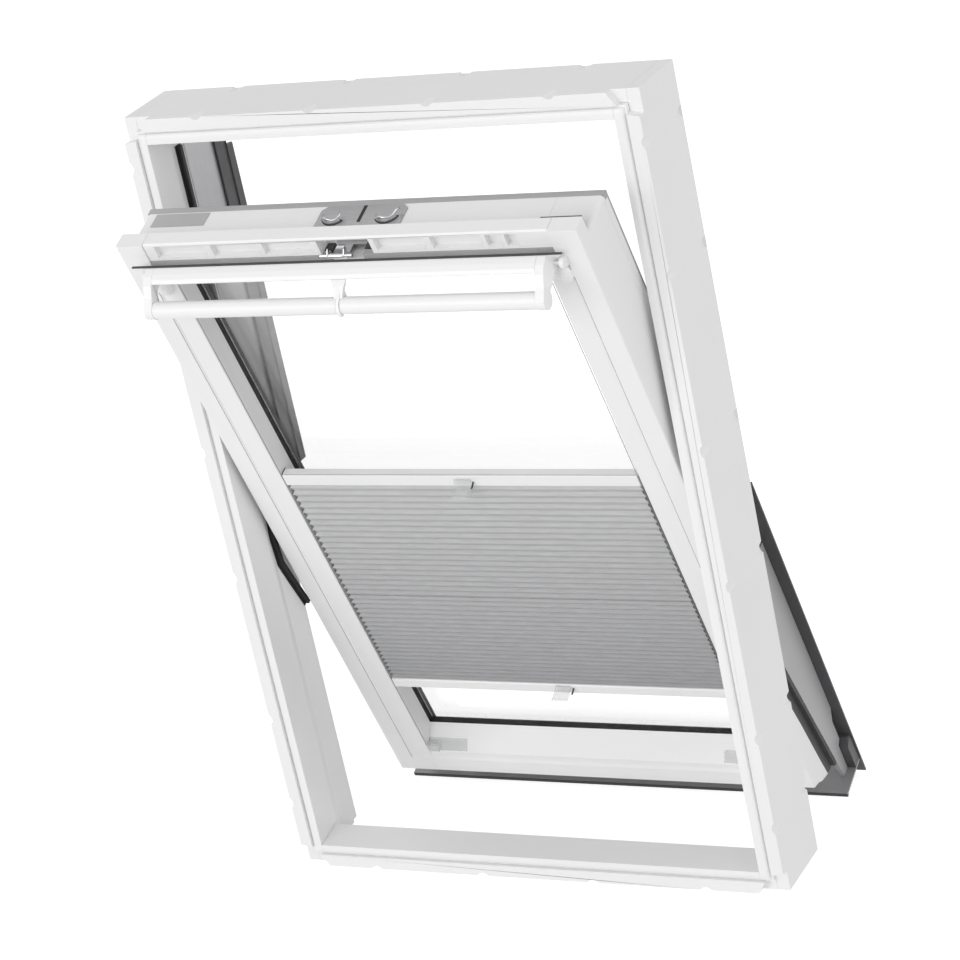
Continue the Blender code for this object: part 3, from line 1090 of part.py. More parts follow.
def build():
    clear_scene()
    foam = material("white_foam_skin", (0.80, 0.80, 0.80), 0.55)
    plastic = material("white_frame_plastic", (0.82, 0.82, 0.82), 0.35)
    gloss = material("white_gloss_plastic", (0.86, 0.86, 0.86), 0.25)
    rubber = material("black_rubber", (0.015, 0.015, 0.016), 0.6)
    grey_rubber = material("grey_rubber", (0.06, 0.06, 0.065), 0.6)
    clad = material("grey_coated_aluminium", (0.09, 0.09, 0.10), 0.45, 0.6)
    pale_clad = material("light_grey_aluminium", (0.38, 0.38, 0.385), 0.45, 0.6)
    steel = material("zinc_plated_steel", (0.45, 0.45, 0.46), 0.35, 1.0)
    chrome = material("chrome", (0.75, 0.75, 0.76), 0.12, 1.0)
    glass = material("clear_glass", (0.85, 0.92, 0.90), 0.02, 0.0, 0.25)
    spacer = material("dark_spacer", (0.12, 0.12, 0.125), 0.5)
    clear = material("clear_plastic", (0.90, 0.92, 0.93), 0.10, 0.0, 0.45)
    cloth = material("grey_pleated_fabric", (0.36, 0.36, 0.365), 0.9)
    alloy = material("white_coated_aluminium", (0.80, 0.80, 0.80), 0.35)
    label = material("label_film", (0.45, 0.45, 0.46), 0.4)
    cord = material("clear_cord", (0.80, 0.80, 0.80), 0.4)

    window = empty("window", (0, -FRAME_DEPTH / 2, 0))
    for name, side in SIDES:
        frame_side(f"frame_side_{name}", side, window, plastic)
        collar_side(f"collar_{name}", side, window, foam)
        frame_seal(f"frame_seal_{name}", side, window, rubber)
        frame_cladding_side(f"frame_cladding_{name}", side, window, clad)
        frame_pivot_plate(f"frame_pivot_plate_{name}", side, window, steel)
    frame_head(window, plastic)
    frame_sill(window, plastic)
    collar_head(window, foam)
    collar_sill(window, foam)
    frame_cladding_head(window, clad)
    striker_plate(window, steel)

    hinge = empty("sash_pivot", (0, PIVOT_DEPTH, PIVOT_HEIGHT), window)
    hinge.rotation_euler.x = OPEN_ANGLE
    sash = empty("sash_corner", (0, -PIVOT_W, -PIVOT_V), hinge)
    for name, side in SIDES:
        sash_stile(f"sash_stile_{name}", side, sash, plastic)
        side_cover(f"side_cover_{name}", side, sash, plastic)
        side_flange(f"side_flange_{name}", side, sash, clad)
        sash_seal(f"sash_seal_{name}", side, sash, grey_rubber)
        sash_pivot_plate(f"sash_pivot_plate_{name}", side, sash, steel)
        cord_bracket(f"cord_bracket_{name}", side, sash, clear)
        tension_cord(f"tension_cord_{name}", side, sash, cord)
        vent_seal(f"vent_seal_{name}", side, sash, grey_rubber)
    sash_top_rail(sash, plastic)
    sash_bottom_rail(sash, plastic)
    glazing(sash, glass, spacer, rubber)
    sash_cladding(sash, pale_clad)
    drip_plate(sash, clad)
    vent_front(sash, plastic)
    latch_plate(sash, steel)
    label_plate(sash, label)
    blind_fabric(sash, cloth)

    flap_hinge = empty("flap_hinge", (0, HINGE_W, HINGE_V), sash)
    handle = empty("handle_origin", (0, -HINGE_W, -HINGE_V), flap_hinge)
    vent_flap(handle, gloss)
    flap_seal(handle, grey_rubber)
    handle_tube(handle, gloss)
    for name, side in SIDES:
        handle_end(f"handle_end_{name}", side, handle, gloss)
    handle_bracket(handle, gloss)

    latch_carriage(sash, steel)
    latch_link(sash, chrome)

    blind_rails(sash, alloy)
    blind_grip("blind_top_grip", TOP_RAIL_HIGH - TOP_GRIP_BELOW, TOP_GRIP_DROP, sash, clear)
    blind_grip("blind_bottom_grip", BOTTOM_RAIL_HIGH - BOTTOM_GRIP_BELOW, BOTTOM_GRIP_DROP, sash, clear)


build()
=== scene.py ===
"""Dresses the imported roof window: materials, the pleated fabric, small fittings and a pale studio."""

import json
import math

import bmesh
import bpy
from mathutils import Matrix, Vector


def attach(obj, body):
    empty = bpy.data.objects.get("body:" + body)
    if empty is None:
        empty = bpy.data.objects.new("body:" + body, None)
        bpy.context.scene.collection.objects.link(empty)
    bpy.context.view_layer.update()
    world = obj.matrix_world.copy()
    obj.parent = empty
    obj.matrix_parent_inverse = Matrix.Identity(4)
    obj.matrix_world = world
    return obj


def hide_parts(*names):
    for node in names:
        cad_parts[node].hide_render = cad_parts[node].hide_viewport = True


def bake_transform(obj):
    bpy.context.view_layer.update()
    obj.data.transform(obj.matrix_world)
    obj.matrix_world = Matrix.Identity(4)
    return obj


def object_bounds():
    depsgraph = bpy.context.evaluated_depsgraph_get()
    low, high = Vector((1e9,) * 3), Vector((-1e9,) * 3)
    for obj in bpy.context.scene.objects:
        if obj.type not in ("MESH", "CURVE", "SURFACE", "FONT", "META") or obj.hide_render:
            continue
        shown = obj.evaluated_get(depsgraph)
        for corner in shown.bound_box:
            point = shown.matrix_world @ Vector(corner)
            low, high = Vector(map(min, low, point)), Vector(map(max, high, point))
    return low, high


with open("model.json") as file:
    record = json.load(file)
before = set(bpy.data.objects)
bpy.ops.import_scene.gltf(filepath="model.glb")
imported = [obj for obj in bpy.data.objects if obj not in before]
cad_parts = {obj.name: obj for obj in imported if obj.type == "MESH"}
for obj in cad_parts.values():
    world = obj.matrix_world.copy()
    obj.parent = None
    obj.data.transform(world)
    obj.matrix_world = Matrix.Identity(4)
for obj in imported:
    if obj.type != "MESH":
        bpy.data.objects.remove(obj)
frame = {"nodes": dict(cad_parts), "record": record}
cad_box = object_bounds()
NODES = frame["nodes"]

# The camera that the photograph was taken with, fitted to the frame's corners
CAMERA_AT = (2.1704, -3.7001, 2.3502)
CAMERA_TURN = (67.3876, 11.3746, 25.6090)
CAMERA_LENS = 124.367

# The sash's own axes: x across, w outwards from its room face, v up from its lower edge
SASH_TILT = math.radians(20.956)
SASH_ORIGIN = Vector((0.0, 0.178645, 0.026619))
SASH = Matrix.Translation(SASH_ORIGIN) @ Matrix.Rotation(SASH_TILT, 4, "X")
# The frame's axes, measured from its room side
FRAME = Matrix.Translation((0.0, -0.05585, 0.0))

# Sizes shared with the solids
HALF_SASH = 0.34475
REVEAL_X = 0.27995
SASH_HEIGHT = 1.0973
HINGE_W = -0.009
HINGE_V = 1.0515
TUBE_W = -0.0525
TUBE_V = 1.0285
LINK_X = -0.008
LINK_W = -0.0065
LINK_V = 1.0740
SLOT_LOW = 1.0603
VENT_BAR_LOW = 1.0685
BLIND_FRONT = 0.002
BLIND_W = 0.010
BLIND_HALF = 0.2785
TOP_RAIL_LOW = 0.6317
TOP_RAIL_SPLIT = 0.6485
TOP_RAIL_HIGH = 0.6530
BOTTOM_RAIL_HIGH = 0.2117
PLEATS = 40
PLEAT_DEPTH = 0.014
PLEAT_GROWTH = 1.6
FABRIC_EDGE = 0.0015
STILE_FOLD = 0.31455
SASH_TOP = 1.0745
WALL_X = 0.3565
UPPER_DEPTH = 0.146
FRAME_HEIGHT = 1.1808

# The fabric: how its folds stand between the rails and how finely its sheet is divided
RAIL_CLEAR = 0.0003
FOLD_CLEAR = 0.0004
COLUMNS = 36
# How far the fabric's inner folds stay from its middle plane
INNER_FOLD = 0.0046
# How far the room side's inner folds stop short of the fabric's edge
FOLD_TUCK = 0.0036
# A fold's profile: how far each of its rows stands out and how high it sits, about the fold's own place
CREST = ((-0.0015, -0.0005), (0.0, 0.0), (-0.0004, 0.0010))
VALLEY = ((0.0, -0.0005), (-0.0012, 0.0), (0.0, 0.0005))
# How far an outer fold wanders in and out, in two waves, and up and down
LONG_WAVE = 0.00008
SHORT_WAVE = 0.00006
SWAY = 0.00012
# Cloth colours at the bottom and top rails: the darker low one is painted shade between close pleats
CLOTH_LOW = "#a0a0a2"
CLOTH_HIGH = "#c6c6c7"

# Latch plate: its face, the dark film of painted shade round each opening, and the wire hook that bends over it
PLATE_FACE = SASH_TOP + 0.0018
FILM_BACK = PLATE_FACE + 0.0001
FILM_FACE = PLATE_FACE + 0.0002
HOOK_X = 0.040
HOOK_W = 0.0690
HOOK_INNER = 0.0112
HOOK_OUTER = 0.0188
WIRE_W = 0.0700
WIRE_BEND = 0.0150
WIRE_RADIUS = 0.0013
WIRE_HEIGHT = 0.0060
WIRE_WAVE = 0.0014
WIRE_TAIL = (0.004, 0.006, 0.0068)
BARREL_RADIUS = 0.0036
CHEEK_FOOT = 0.0020
CHEEK_FACE = -0.0008
CHEEK_THICKNESS = 0.0015

# Linings, foam and strips of painted shade: faces and ends that aren't a solid's own
LINING_FRONT = 0.076
LINING_LOW = 0.600
LINING_BELOW_TOP = 0.040
FOAM_FRONT = 0.0012
FOAM_BACK = 0.0112
FOAM_LOW = SLOT_LOW - 0.006
FOAM_HIGH = VENT_BAR_LOW - 0.0004
HINGE_COVER_RADIUS = 0.0076
# Pale strip in front of the frame's cladding, in the frame's axes
BACKING_FRONT = 0.11175
BACKING_BACK = 0.11192
GRIP_HOOK_REACH = 0.0105


def rgb(code):
    """A colour of the sRGB screen, written #rrggbb, as linear values with full alpha."""
    parts = [int(code[i:i + 2], 16) / 255 for i in (1, 3, 5)]
    return tuple(c / 12.92 if c <= 0.04045 else ((c + 0.055) / 1.055) ** 2.4 for c in parts) + (1.0,)


def add(tree, kind, links=None, values=None, **settings):
    """Adds a shader node: links feed its sockets, values set them and settings are its own properties."""
    node = tree.nodes.new(kind)
    for key, value in settings.items():
        setattr(node, key, value)
    for key, value in (values or {}).items():
        node.inputs[key].default_value = value
    for key, source in (links or {}).items():
        tree.links.new(source, node.inputs[key])
    return node


def start_material(name, roughness, ior=None, metallic=0.0):
    """A material with its shader's plain values set; a metal keeps the default index of refraction."""
    made = bpy.data.materials.new(name)
    made.use_nodes = True
    tree = made.node_tree
    shader = tree.nodes["Principled BSDF"]
    shader.inputs["Roughness"].default_value = roughness
    shader.inputs["Metallic"].default_value = metallic
    if ior:
        shader.inputs["IOR"].default_value = ior
    place = add(tree, "ShaderNodeTexCoord").outputs["Object"]
    return made, tree, shader, place


def moulded(name, light, dark, roughness, ior, grain_mm, depth_mm):
    """Moulded plastic or lacquer: a faint cloudiness, an uneven sheen and the mould's fine grain."""
    made, tree, shader, place = start_material(name, roughness, ior)
    cloud = add(tree, "ShaderNodeTexNoise", {"Vector": place}, {"Scale": 1000 / 160, "Detail": 3.0})
    tint = add(tree, "ShaderNodeMix", {0: cloud.outputs[0]}, {6: rgb(light), 7: rgb(dark)}, data_type="RGBA")
    tree.links.new(tint.outputs[2], shader.inputs["Base Color"])
    patch = add(tree, "ShaderNodeTexNoise", {"Vector": place}, {"Scale": 1000 / 35, "Detail": 2.0})
    sheen = add(tree, "ShaderNodeMapRange", {0: patch.outputs[0]},
                {1: 0.3, 2: 0.7, 3: roughness - 0.02, 4: roughness + 0.03})
    tree.links.new(sheen.outputs[0], shader.inputs["Roughness"])
    grain = add(tree, "ShaderNodeTexNoise", {"Vector": place}, {"Scale": 1000 / grain_mm, "Detail": 2.0})
    relief = add(tree, "ShaderNodeBump", {"Height": grain.outputs[0]}, {"Distance": depth_mm / 1000})
    tree.links.new(relief.outputs[0], shader.inputs["Normal"])
    return made


def extruded_rubber(name, body, bloom):
    """Extruded rubber: matt, with lines drawn along it and a little chalky bloom.

    The lines are really 0.2 mm apart and are drawn 1.2 mm apart so that they show.
    """
    made, tree, shader, place = start_material(name, 0.62, 1.53)
    along = add(tree, "ShaderNodeMapping", {"Vector": place}, {"Scale": (1, 1, 0.05)})
    cloud = add(tree, "ShaderNodeTexNoise", {"Vector": along.outputs[0]}, {"Scale": 1000 / 20, "Detail": 3.0})
    share = add(tree, "ShaderNodeMapRange", {0: cloud.outputs[0]}, {1: 0.4, 2: 0.75, 3: 0.0, 4: 0.6})
    tint = add(tree, "ShaderNodeMix", {0: share.outputs[0]}, {6: rgb(body), 7: rgb(bloom)}, data_type="RGBA")
    tree.links.new(tint.outputs[2], shader.inputs["Base Color"])
    lines = add(tree, "ShaderNodeTexNoise", {"Vector": along.outputs[0]}, {"Scale": 1000 / 1.2, "Detail": 1.0})
    relief = add(tree, "ShaderNodeBump", {"Height": lines.outputs[0]}, {"Distance": 0.00008})
    tree.links.new(relief.outputs[0], shader.inputs["Normal"])
    return made


def coated_sheet(name, light, dark, roughness, metallic):
    """Coil-coated aluminium sheet: an even satin coat over metal, its orange peel 0.7 mm across."""
    made, tree, shader, place = start_material(name, roughness, None, metallic)
    cloud = add(tree, "ShaderNodeTexNoise", {"Vector": place}, {"Scale": 1000 / 90, "Detail": 2.0})
    tint = add(tree, "ShaderNodeMix", {0: cloud.outputs[0]}, {6: rgb(light), 7: rgb(dark)}, data_type="RGBA")
    tree.links.new(tint.outputs[2], shader.inputs["Base Color"])
    patch = add(tree, "ShaderNodeTexNoise", {"Vector": place}, {"Scale": 1000 / 12, "Detail": 2.0})
    sheen = add(tree, "ShaderNodeMapRange", {0: patch.outputs[0]},
                {1: 0.3, 2: 0.7, 3: roughness - 0.05, 4: roughness + 0.05})
    tree.links.new(sheen.outputs[0], shader.inputs["Roughness"])
    peel = add(tree, "ShaderNodeTexNoise", {"Vector": place}, {"Scale": 1000 / 0.7, "Detail": 1.0})
    relief = add(tree, "ShaderNodeBump", {"Height": peel.outputs[0]}, {"Distance": 0.00002})
    tree.links.new(relief.outputs[0], shader.inputs["Normal"])
    return made


def graded_sheet(name, high, low, roughness, metallic):
    """Coil-coated sheet whose coat darkens towards its foot.

    The real coat is even. The darkening stands for the shade inside the frame, which soft light doesn't give.
    """
    made = coated_sheet(name, high, high, roughness, metallic)
    tree = made.node_tree
    base = tree.nodes["Principled BSDF"].inputs["Base Color"]
    coat = base.links[0].from_socket
    height = add(tree, "ShaderNodeSeparateXYZ", {0: add(tree, "ShaderNodeTexCoord").outputs["Object"]})
    rise = add(tree, "ShaderNodeMapRange", {0: height.outputs[2]}, {1: 0.64, 2: 1.14, 3: 0.0, 4: 1.0})
    cloud = add(tree, "ShaderNodeTexNoise", None, {"Scale": 1000 / 90, "Detail": 2.0})
    drift = add(tree, "ShaderNodeMath", {0: cloud.outputs[0]}, {1: 0.10}, operation="MULTIPLY")
    share = add(tree, "ShaderNodeMath", {0: rise.outputs[0], 1: drift.outputs[0]}, operation="ADD")
    tint = add(tree, "ShaderNodeMix", {0: share.outputs[0], 7: coat}, {6: rgb(low)}, data_type="RGBA")
    tree.links.new(tint.outputs[2], base)
    return made


def plated_steel(name, light, dark, roughness):
    """Plated steel: its sheen is broken by rolling lines across it.

    The lines are really 0.3 mm apart and are drawn 1.6 mm apart so that they show.
    """
    made, tree, shader, place = start_material(name, roughness, None, 1.0)
    across = add(tree, "ShaderNodeMapping", {"Vector": place}, {"Scale": (0.06, 1, 1)})
    lines = add(tree, "ShaderNodeTexNoise", {"Vector": across.outputs[0]}, {"Scale": 1000 / 1.6, "Detail": 2.0})
    tint = add(tree, "ShaderNodeMix", {0: lines.outputs[0]}, {6: rgb(light), 7: rgb(dark)}, data_type="RGBA")
    tree.links.new(tint.outputs[2], shader.inputs["Base Color"])
    sheen = add(tree, "ShaderNodeMapRange", {0: lines.outputs[0]},
                {1: 0.3, 2: 0.7, 3: roughness - 0.04, 4: roughness + 0.07})
    tree.links.new(sheen.outputs[0], shader.inputs["Roughness"])
    relief = add(tree, "ShaderNodeBump", {"Height": lines.outputs[0]}, {"Distance": 0.00002})
    tree.links.new(relief.outputs[0], shader.inputs["Normal"])
    return made


def see_through(name, tint, roughness, ior, clearness, ripple_mm, depth_mm):
    """A clear solid that bends light for the eye and lets the lamps' light straight through."""
    made, tree, shader, place = start_material(name, roughness, ior)
    shader.inputs["Base Color"].default_value = rgb(tint)
    shader.inputs["Transmission Weight"].default_value = clearness
    ripple = add(tree, "ShaderNodeTexNoise", {"Vector": place}, {"Scale": 1000 / ripple_mm, "Detail": 1.0})
    relief = add(tree, "ShaderNodeBump", {"Height": ripple.outputs[0]}, {"Distance": depth_mm / 1000})
    tree.links.new(relief.outputs[0], shader.inputs["Normal"])
    through = add(tree, "ShaderNodeBsdfTransparent", None, {0: rgb(tint)})
    rays = add(tree, "ShaderNodeLightPath").outputs["Is Shadow Ray"]
    mix = add(tree, "ShaderNodeMixShader", {0: rays, 1: shader.outputs[0], 2: through.outputs[0]})
    tree.links.new(mix.outputs[0], tree.nodes["Material Output"].inputs["Surface"])
    return made


def thin_clear(name, veil, roughness, ior):
    """Thin clear moulding: what lies behind shows through a faint veil that thickens towards its edges."""
    made, tree, shader, place = start_material(name, roughness, ior)
    cloud = add(tree, "ShaderNodeTexNoise", {"Vector": place}, {"Scale": 1000 / 12, "Detail": 2.0})
    tint = add(tree, "ShaderNodeMix", {0: cloud.outputs[0]}, {6: rgb(veil), 7: rgb("#f4f5f5")},
               data_type="RGBA")
    tree.links.new(tint.outputs[2], shader.inputs["Base Color"])
    edge = add(tree, "ShaderNodeLayerWeight", None, {"Blend": 0.35}).outputs["Facing"]
    share = add(tree, "ShaderNodeMapRange", {0: edge}, {1: 0.0, 2: 1.0, 3: 0.10, 4: 0.75})
    through = add(tree, "ShaderNodeBsdfTransparent", None, {0: rgb("#fafafa")})
    mix = add(tree, "ShaderNodeMixShader", {0: share.outputs[0], 1: through.outputs[0], 2: shader.outputs[0]})
    tree.links.new(mix.outputs[0], tree.nodes["Material Output"].inputs["Surface"])
    return made


def woven_cloth(name):
    """Woven polyester: slubs along the width and a soft sheen.

    The real cloth is one colour. It is darkened downwards to stand for the shade between close pleats.
    The threads are really 0.25 mm apart and are drawn 0.6 mm apart so that they show.
    """
    made, tree, shader, place = start_material(name, 0.85, 1.57)
    across = add(tree, "ShaderNodeMapping", {"Vector": place}, {"Scale": (0.12, 1, 1)})
    slub = add(tree, "ShaderNodeTexNoise", {"Vector": across.outputs[0]}, {"Scale": 1000 / 3.5, "Detail": 3.0})
    height = add(tree, "ShaderNodeSeparateXYZ", {0: place}).outputs[2]
    low, high = (SASH @ Vector((0, BLIND_W, v)) for v in (BOTTOM_RAIL_HIGH, TOP_RAIL_LOW))
    rise = add(tree, "ShaderNodeMapRange", {0: height}, {1: low.z, 2: high.z, 3: 0.0, 4: 1.0})
    shade = add(tree, "ShaderNodeMix", {0: rise.outputs[0]}, {6: rgb(CLOTH_LOW), 7: rgb(CLOTH_HIGH)},
                data_type="RGBA")
    faint = add(tree, "ShaderNodeMapRange", {0: slub.outputs[0]}, {1: 0.35, 2: 0.65, 3: 0.94, 4: 1.04})
    tint = add(tree, "ShaderNodeVectorMath", {0: shade.outputs[2], 3: faint.outputs[0]}, operation="SCALE")
    tree.links.new(tint.outputs[0], shader.inputs["Base Color"])
    pitch = 2 * math.pi / 20 * 1000 / 0.6
    warp = add(tree, "ShaderNodeTexWave", {"Vector": place}, {"Scale": pitch}, bands_direction="X")
    weft = add(tree, "ShaderNodeTexWave", {"Vector": place}, {"Scale": pitch}, bands_direction="Z")
    weave = add(tree, "ShaderNodeMath", {0: warp.outputs[1], 1: weft.outputs[1]}, operation="MULTIPLY")
    relief = add(tree, "ShaderNodeBump", {"Height": weave.outputs[0]}, {"Distance": 0.00006})
    tree.links.new(relief.outputs[0], shader.inputs["Normal"])
    shader.inputs["Sheen Weight"].default_value = 0.2
    shader.inputs["Sheen Roughness"].default_value = 0.5
    return made


SURFACES = {
    # Lacquered polyurethane profile: bright satin white, with a soft broad highlight
    "white_frame_plastic": moulded("moulded_polyurethane_white", "#f3f3f3", "#eeeeee", 0.38, 1.50, 1.1, 0.02),
    # Skin of moulded polyethylene foam: a duller white with a coarser, soft grain
    "white_foam_skin": moulded("moulded_polyethylene_foam_white", "#f2f2f2", "#ededed", 0.52, 1.51, 2.2, 0.05),
    # Polished ABS of the handle: the brightest white, with a tight highlight
    "white_gloss_plastic": moulded("moulded_abs_gloss_white", "#f4f4f4", "#f2f2f2", 0.30, 1.54, 1.0, 0.002),
    # EPDM weather seals: nearly black and matt
    "black_rubber": extruded_rubber("extruded_epdm_black", "#1a1a1b", "#2c2c2e"),
    # Softer sealing rubber: dark grey and matt
    "grey_rubber": extruded_rubber("extruded_tpe_dark_grey", "#3a3a3c", "#4a4a4c"),
    # Dark outer cladding: satin grey with a weak metallic sheen
    "grey_coated_aluminium": coated_sheet("coil_coated_aluminium_dark_grey", "#505052", "#4a4a4c", 0.45, 0.2),
    # Pale cladding of the sash: light satin grey
    "light_grey_aluminium": coated_sheet("coil_coated_aluminium_light_grey", "#b4b4b6", "#adadaf", 0.42, 0.3),
    # Powder-coated blind rails: smooth satin white
    "white_coated_aluminium": coated_sheet("powder_coated_aluminium_white", "#f0f0f0", "#ececec", 0.34, 0.0),
    # Pressed latch parts: dull silver
    "zinc_plated_steel": plated_steel("zinc_plated_steel_pressed", "#b8b8b9", "#a8a8aa", 0.38),
    # Link bar: mirror bright
    "chrome": plated_steel("chrome_plated_steel_polished", "#dadadb", "#cdcdcf", 0.12),
    # Panes: clear, with float glass's very faint ripple
    "clear_glass": see_through("float_glass_clear", "#fefefe", 0.0, 1.52, 1.0, 150, 0.0002),
    # Grips and cord brackets: clear, showing mostly at their edges
    "clear_plastic": thin_clear("moulded_polycarbonate_clear", "#d8dadb", 0.12, 1.585),
    # Spacer bar between the panes: a dark even coat
    "dark_spacer": moulded("roll_formed_spacer_dark_grey", "#57575a", "#505053", 0.5, 1.50, 1.5, 0.04),
    # Bare label: matt silvery film
    "label_film": moulded("polyester_film_matt_silver", "#b6b6b7", "#b0b0b1", 0.4, 1.57, 3.0, 0.01),
    # Tension cord: thin braid drawn mid grey, its strands drawn 0.8 mm long
    "clear_cord": moulded("braided_polyester_cord_grey", "#9a9a9b", "#8c8c8d", 0.5, 1.57, 0.8, 0.04),
    # Pleated cloth: soft light grey without a highlight, with painted shade darkening it towards the bottom
    # rail
    "grey_pleated_fabric": woven_cloth("woven_polyester_light_grey"),
}

# Pieces whose finish differs from the rest of their kind
OWN = {
    # Side covers: the same plastic, drawn pale grey as painted shade between the frame and the flange
    "side_cover": moulded("moulded_polyurethane_painted_shade_grey", "#b0b0b1", "#a8a8a9", 0.42, 1.50, 1.1, 0.02),
    # Drip plate: roll-formed sheet drawn mid grey, lighter than the dark cladding as painted light on its top
    # face
    "drip_plate": coated_sheet("roll_formed_aluminium_painted_light_grey", "#9a9a9c", "#929294", 0.40, 0.25),
    # Frame's inner lining: silver-grey coated sheet, with painted shade darkening it towards its foot
    "wall_lining": graded_sheet("coil_coated_aluminium_silver_grey_painted_shade", "#c4c4c6", "#5c5c5e", 0.36, 0.35),
    # Open-cell foam strip: mid grey, dull
    "vent_foam": moulded("open_cell_polyurethane_foam_grey", "#b4b4b5", "#a4a4a5", 0.7, 1.50, 1.4, 0.3),
    # Strips of painted shade in gaps and steps between mouldings: grey and matt
    "face_seam": moulded("painted_shade_strip_grey", "#8c8c8d", "#828283", 0.6, 1.53, 1.0, 0.02),
    # Sealant bead: off-white and even, as painted light seen through the pane's edge
    "sealant": moulded("cured_butyl_sealant_painted_light", "#f2f2f2", "#e8e8e8", 0.5, 1.52, 2.0, 0.02),
    # Small cord hooks: dark coated wire
    "cord_hook": coated_sheet("bent_coated_wire_dark", "#4a4a4c", "#3c3c3e", 0.35, 0.3),
}

# How far each kind of piece has its edges eased, in metres
EASED = {
    "white_frame_plastic": 0.0008, "white_foam_skin": 0.0012, "white_gloss_plastic": 0.0003,
    "grey_coated_aluminium": 0.0006, "light_grey_aluminium": 0.0005, "white_coated_aluminium": 0.0005,
    "zinc_plated_steel": 0.0003, "clear_plastic": 0.0003, "black_rubber": 0.0004, "grey_rubber": 0.0004,
}


def soften(obj, width, segments=2, angle=28):
    """Rounds an object's edges, as moulding and folding leave them."""
    flat = obj.modifiers.new("Flat faces", "DECIMATE")
    flat.decimate_type = "DISSOLVE"
    flat.angle_limit = math.radians(0.5)
    bevel = obj.modifiers.new("Eased edges", "BEVEL")
    bevel.width = width
    bevel.segments = segments
    bevel.limit_method = "ANGLE"
    bevel.angle_limit = math.radians(angle)
    bevel.harden_normals = False
    weights = obj.modifiers.new("Even shading", "WEIGHTED_NORMAL")
    weights.keep_sharp = True


def own_surface(name):
    """The finish kept for a piece of this name, if it has one of its own."""
    return next((surface for start, surface in OWN.items() if name.startswith(start)), None)


def dress_nodes():
    """Gives every kept solid its material, and eased edges where its kind is listed in EASED."""
    for entry in frame["record"]["subparts"]:
        obj = NODES[entry["node"]]
        slot = entry["material_slot"]
        obj.data.materials.clear()
        obj.data.materials.append(own_surface(obj.name) or SURFACES[slot])
        obj.data.shade_smooth()
        if slot in EASED:
            soften(obj, EASED[slot])


def piece(name, bm, body, slot, smooth=True):
    """A new object in the window's axes that rides on a body."""
    bmesh.ops.recalc_face_normals(bm, faces=bm.faces[:])
    mesh = bpy.data.meshes.new(name)
    bm.to_mesh(mesh)
    bm.free()
    mesh.materials.append(own_surface(name) or SURFACES[slot])
    if smooth:
        mesh.shade_smooth()
    made = bpy.data.objects.new(name, mesh)
    bpy.context.collection.objects.link(made)
    if body:
        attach(made, body)
    return made


def extruded(name, outline, axis, start, end, axes, body, slot, ease=0.0003):
    """A closed length of an outline, along x, w or v of the given axes, with eased edges."""
    order = {"x": (2, 0, 1), "w": (0, 2, 1), "v": (0, 1, 2)}[axis]
    bm = bmesh.new()
    rings = []
    for t in (start, end):
        ring = []
        for a, b in outline:
            spot = (a, b, t)
            ring.append(bm.verts.new(axes @ Vector([spot[i] for i in order])))
        rings.append(ring)
    bm.faces.new(rings[0])
    bm.faces.new(rings[1])
    for i in range(len(outline)):
        j = (i + 1) % len(outline)
        bm.faces.new((rings[0][i], rings[0][j], rings[1][j], rings[1][i]))
    made = piece(name, bm, body, slot)
    soften(made, ease)
    return made


def rectangle(low_a, low_b, high_a, high_b):
    """A rectangle's four corners, as an outline."""
    return [(low_a, low_b), (high_a, low_b), (high_a, high_b), (low_a, high_b)]


def pleat_heights():
    """Heights v of the folds, from the bottom rail to the top rail, closing up downwards."""
    low, high = BOTTOM_RAIL_HIGH + RAIL_CLEAR, TOP_RAIL_LOW - RAIL_CLEAR
    heights = []
    for i in range(2 * PLEATS + 1):
        share = i / (2 * PLEATS)
        eased = (share + (PLEAT_GROWTH - 1) * share * share / 2) / (1 + (PLEAT_GROWTH - 1) / 2)
        heights.append(low + (high - low) * eased)
    return heights


def fabric_half(name, first, last):
    """Half of the pleated fabric, between two of its folds: two layers whose inner folds stand apart."""
    heights = pleat_heights()
    half = BLIND_HALF - FABRIC_EDGE
    bm = bmesh.new()
    for side in (-1, 1):
        rows = []
        for i in range(first, last + 1):
            outer = i % 2
            reach = PLEAT_DEPTH / 2 - FOLD_CLEAR if outer else INNER_FOLD
            reach_x = half if outer or side > 0 else half - FOLD_TUCK
            for out, lift in CREST if outer else VALLEY:
                row = []
                for c in range(COLUMNS + 1):
                    x = -reach_x + 2 * reach_x * c / COLUMNS
                    wave = outer * (LONG_WAVE * math.sin(x * 61 + i * 1.7)
                                    + SHORT_WAVE * math.sin(x * 137 + i * 2.9))
                    sway = outer * SWAY * math.sin(x * 23 + i * 0.9)
                    spot = Vector((x, BLIND_W + side * (reach + out + wave), heights[i] + lift + sway))
                    row.append(bm.verts.new(SASH @ spot))
                rows.append(row)
        for lower, upper in zip(rows, rows[1:]):
            for c in range(COLUMNS):
                bm.faces.new((lower[c], lower[c + 1], upper[c + 1], upper[c]))
    cloth = piece(name, bm, None, "grey_pleated_fabric")
    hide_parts("blind_fabric")
    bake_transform(cloth)
    return cloth


def arc(a, b, radius, start, end, steps):
    """Points of an arc about (a, b), its angles in degrees from the first axis towards the second."""
    angles = [math.radians(start + (end - start) * i / steps) for i in range(steps + 1)]
    return [(a + radius * math.cos(turn), b + radius * math.sin(turn)) for turn in angles]


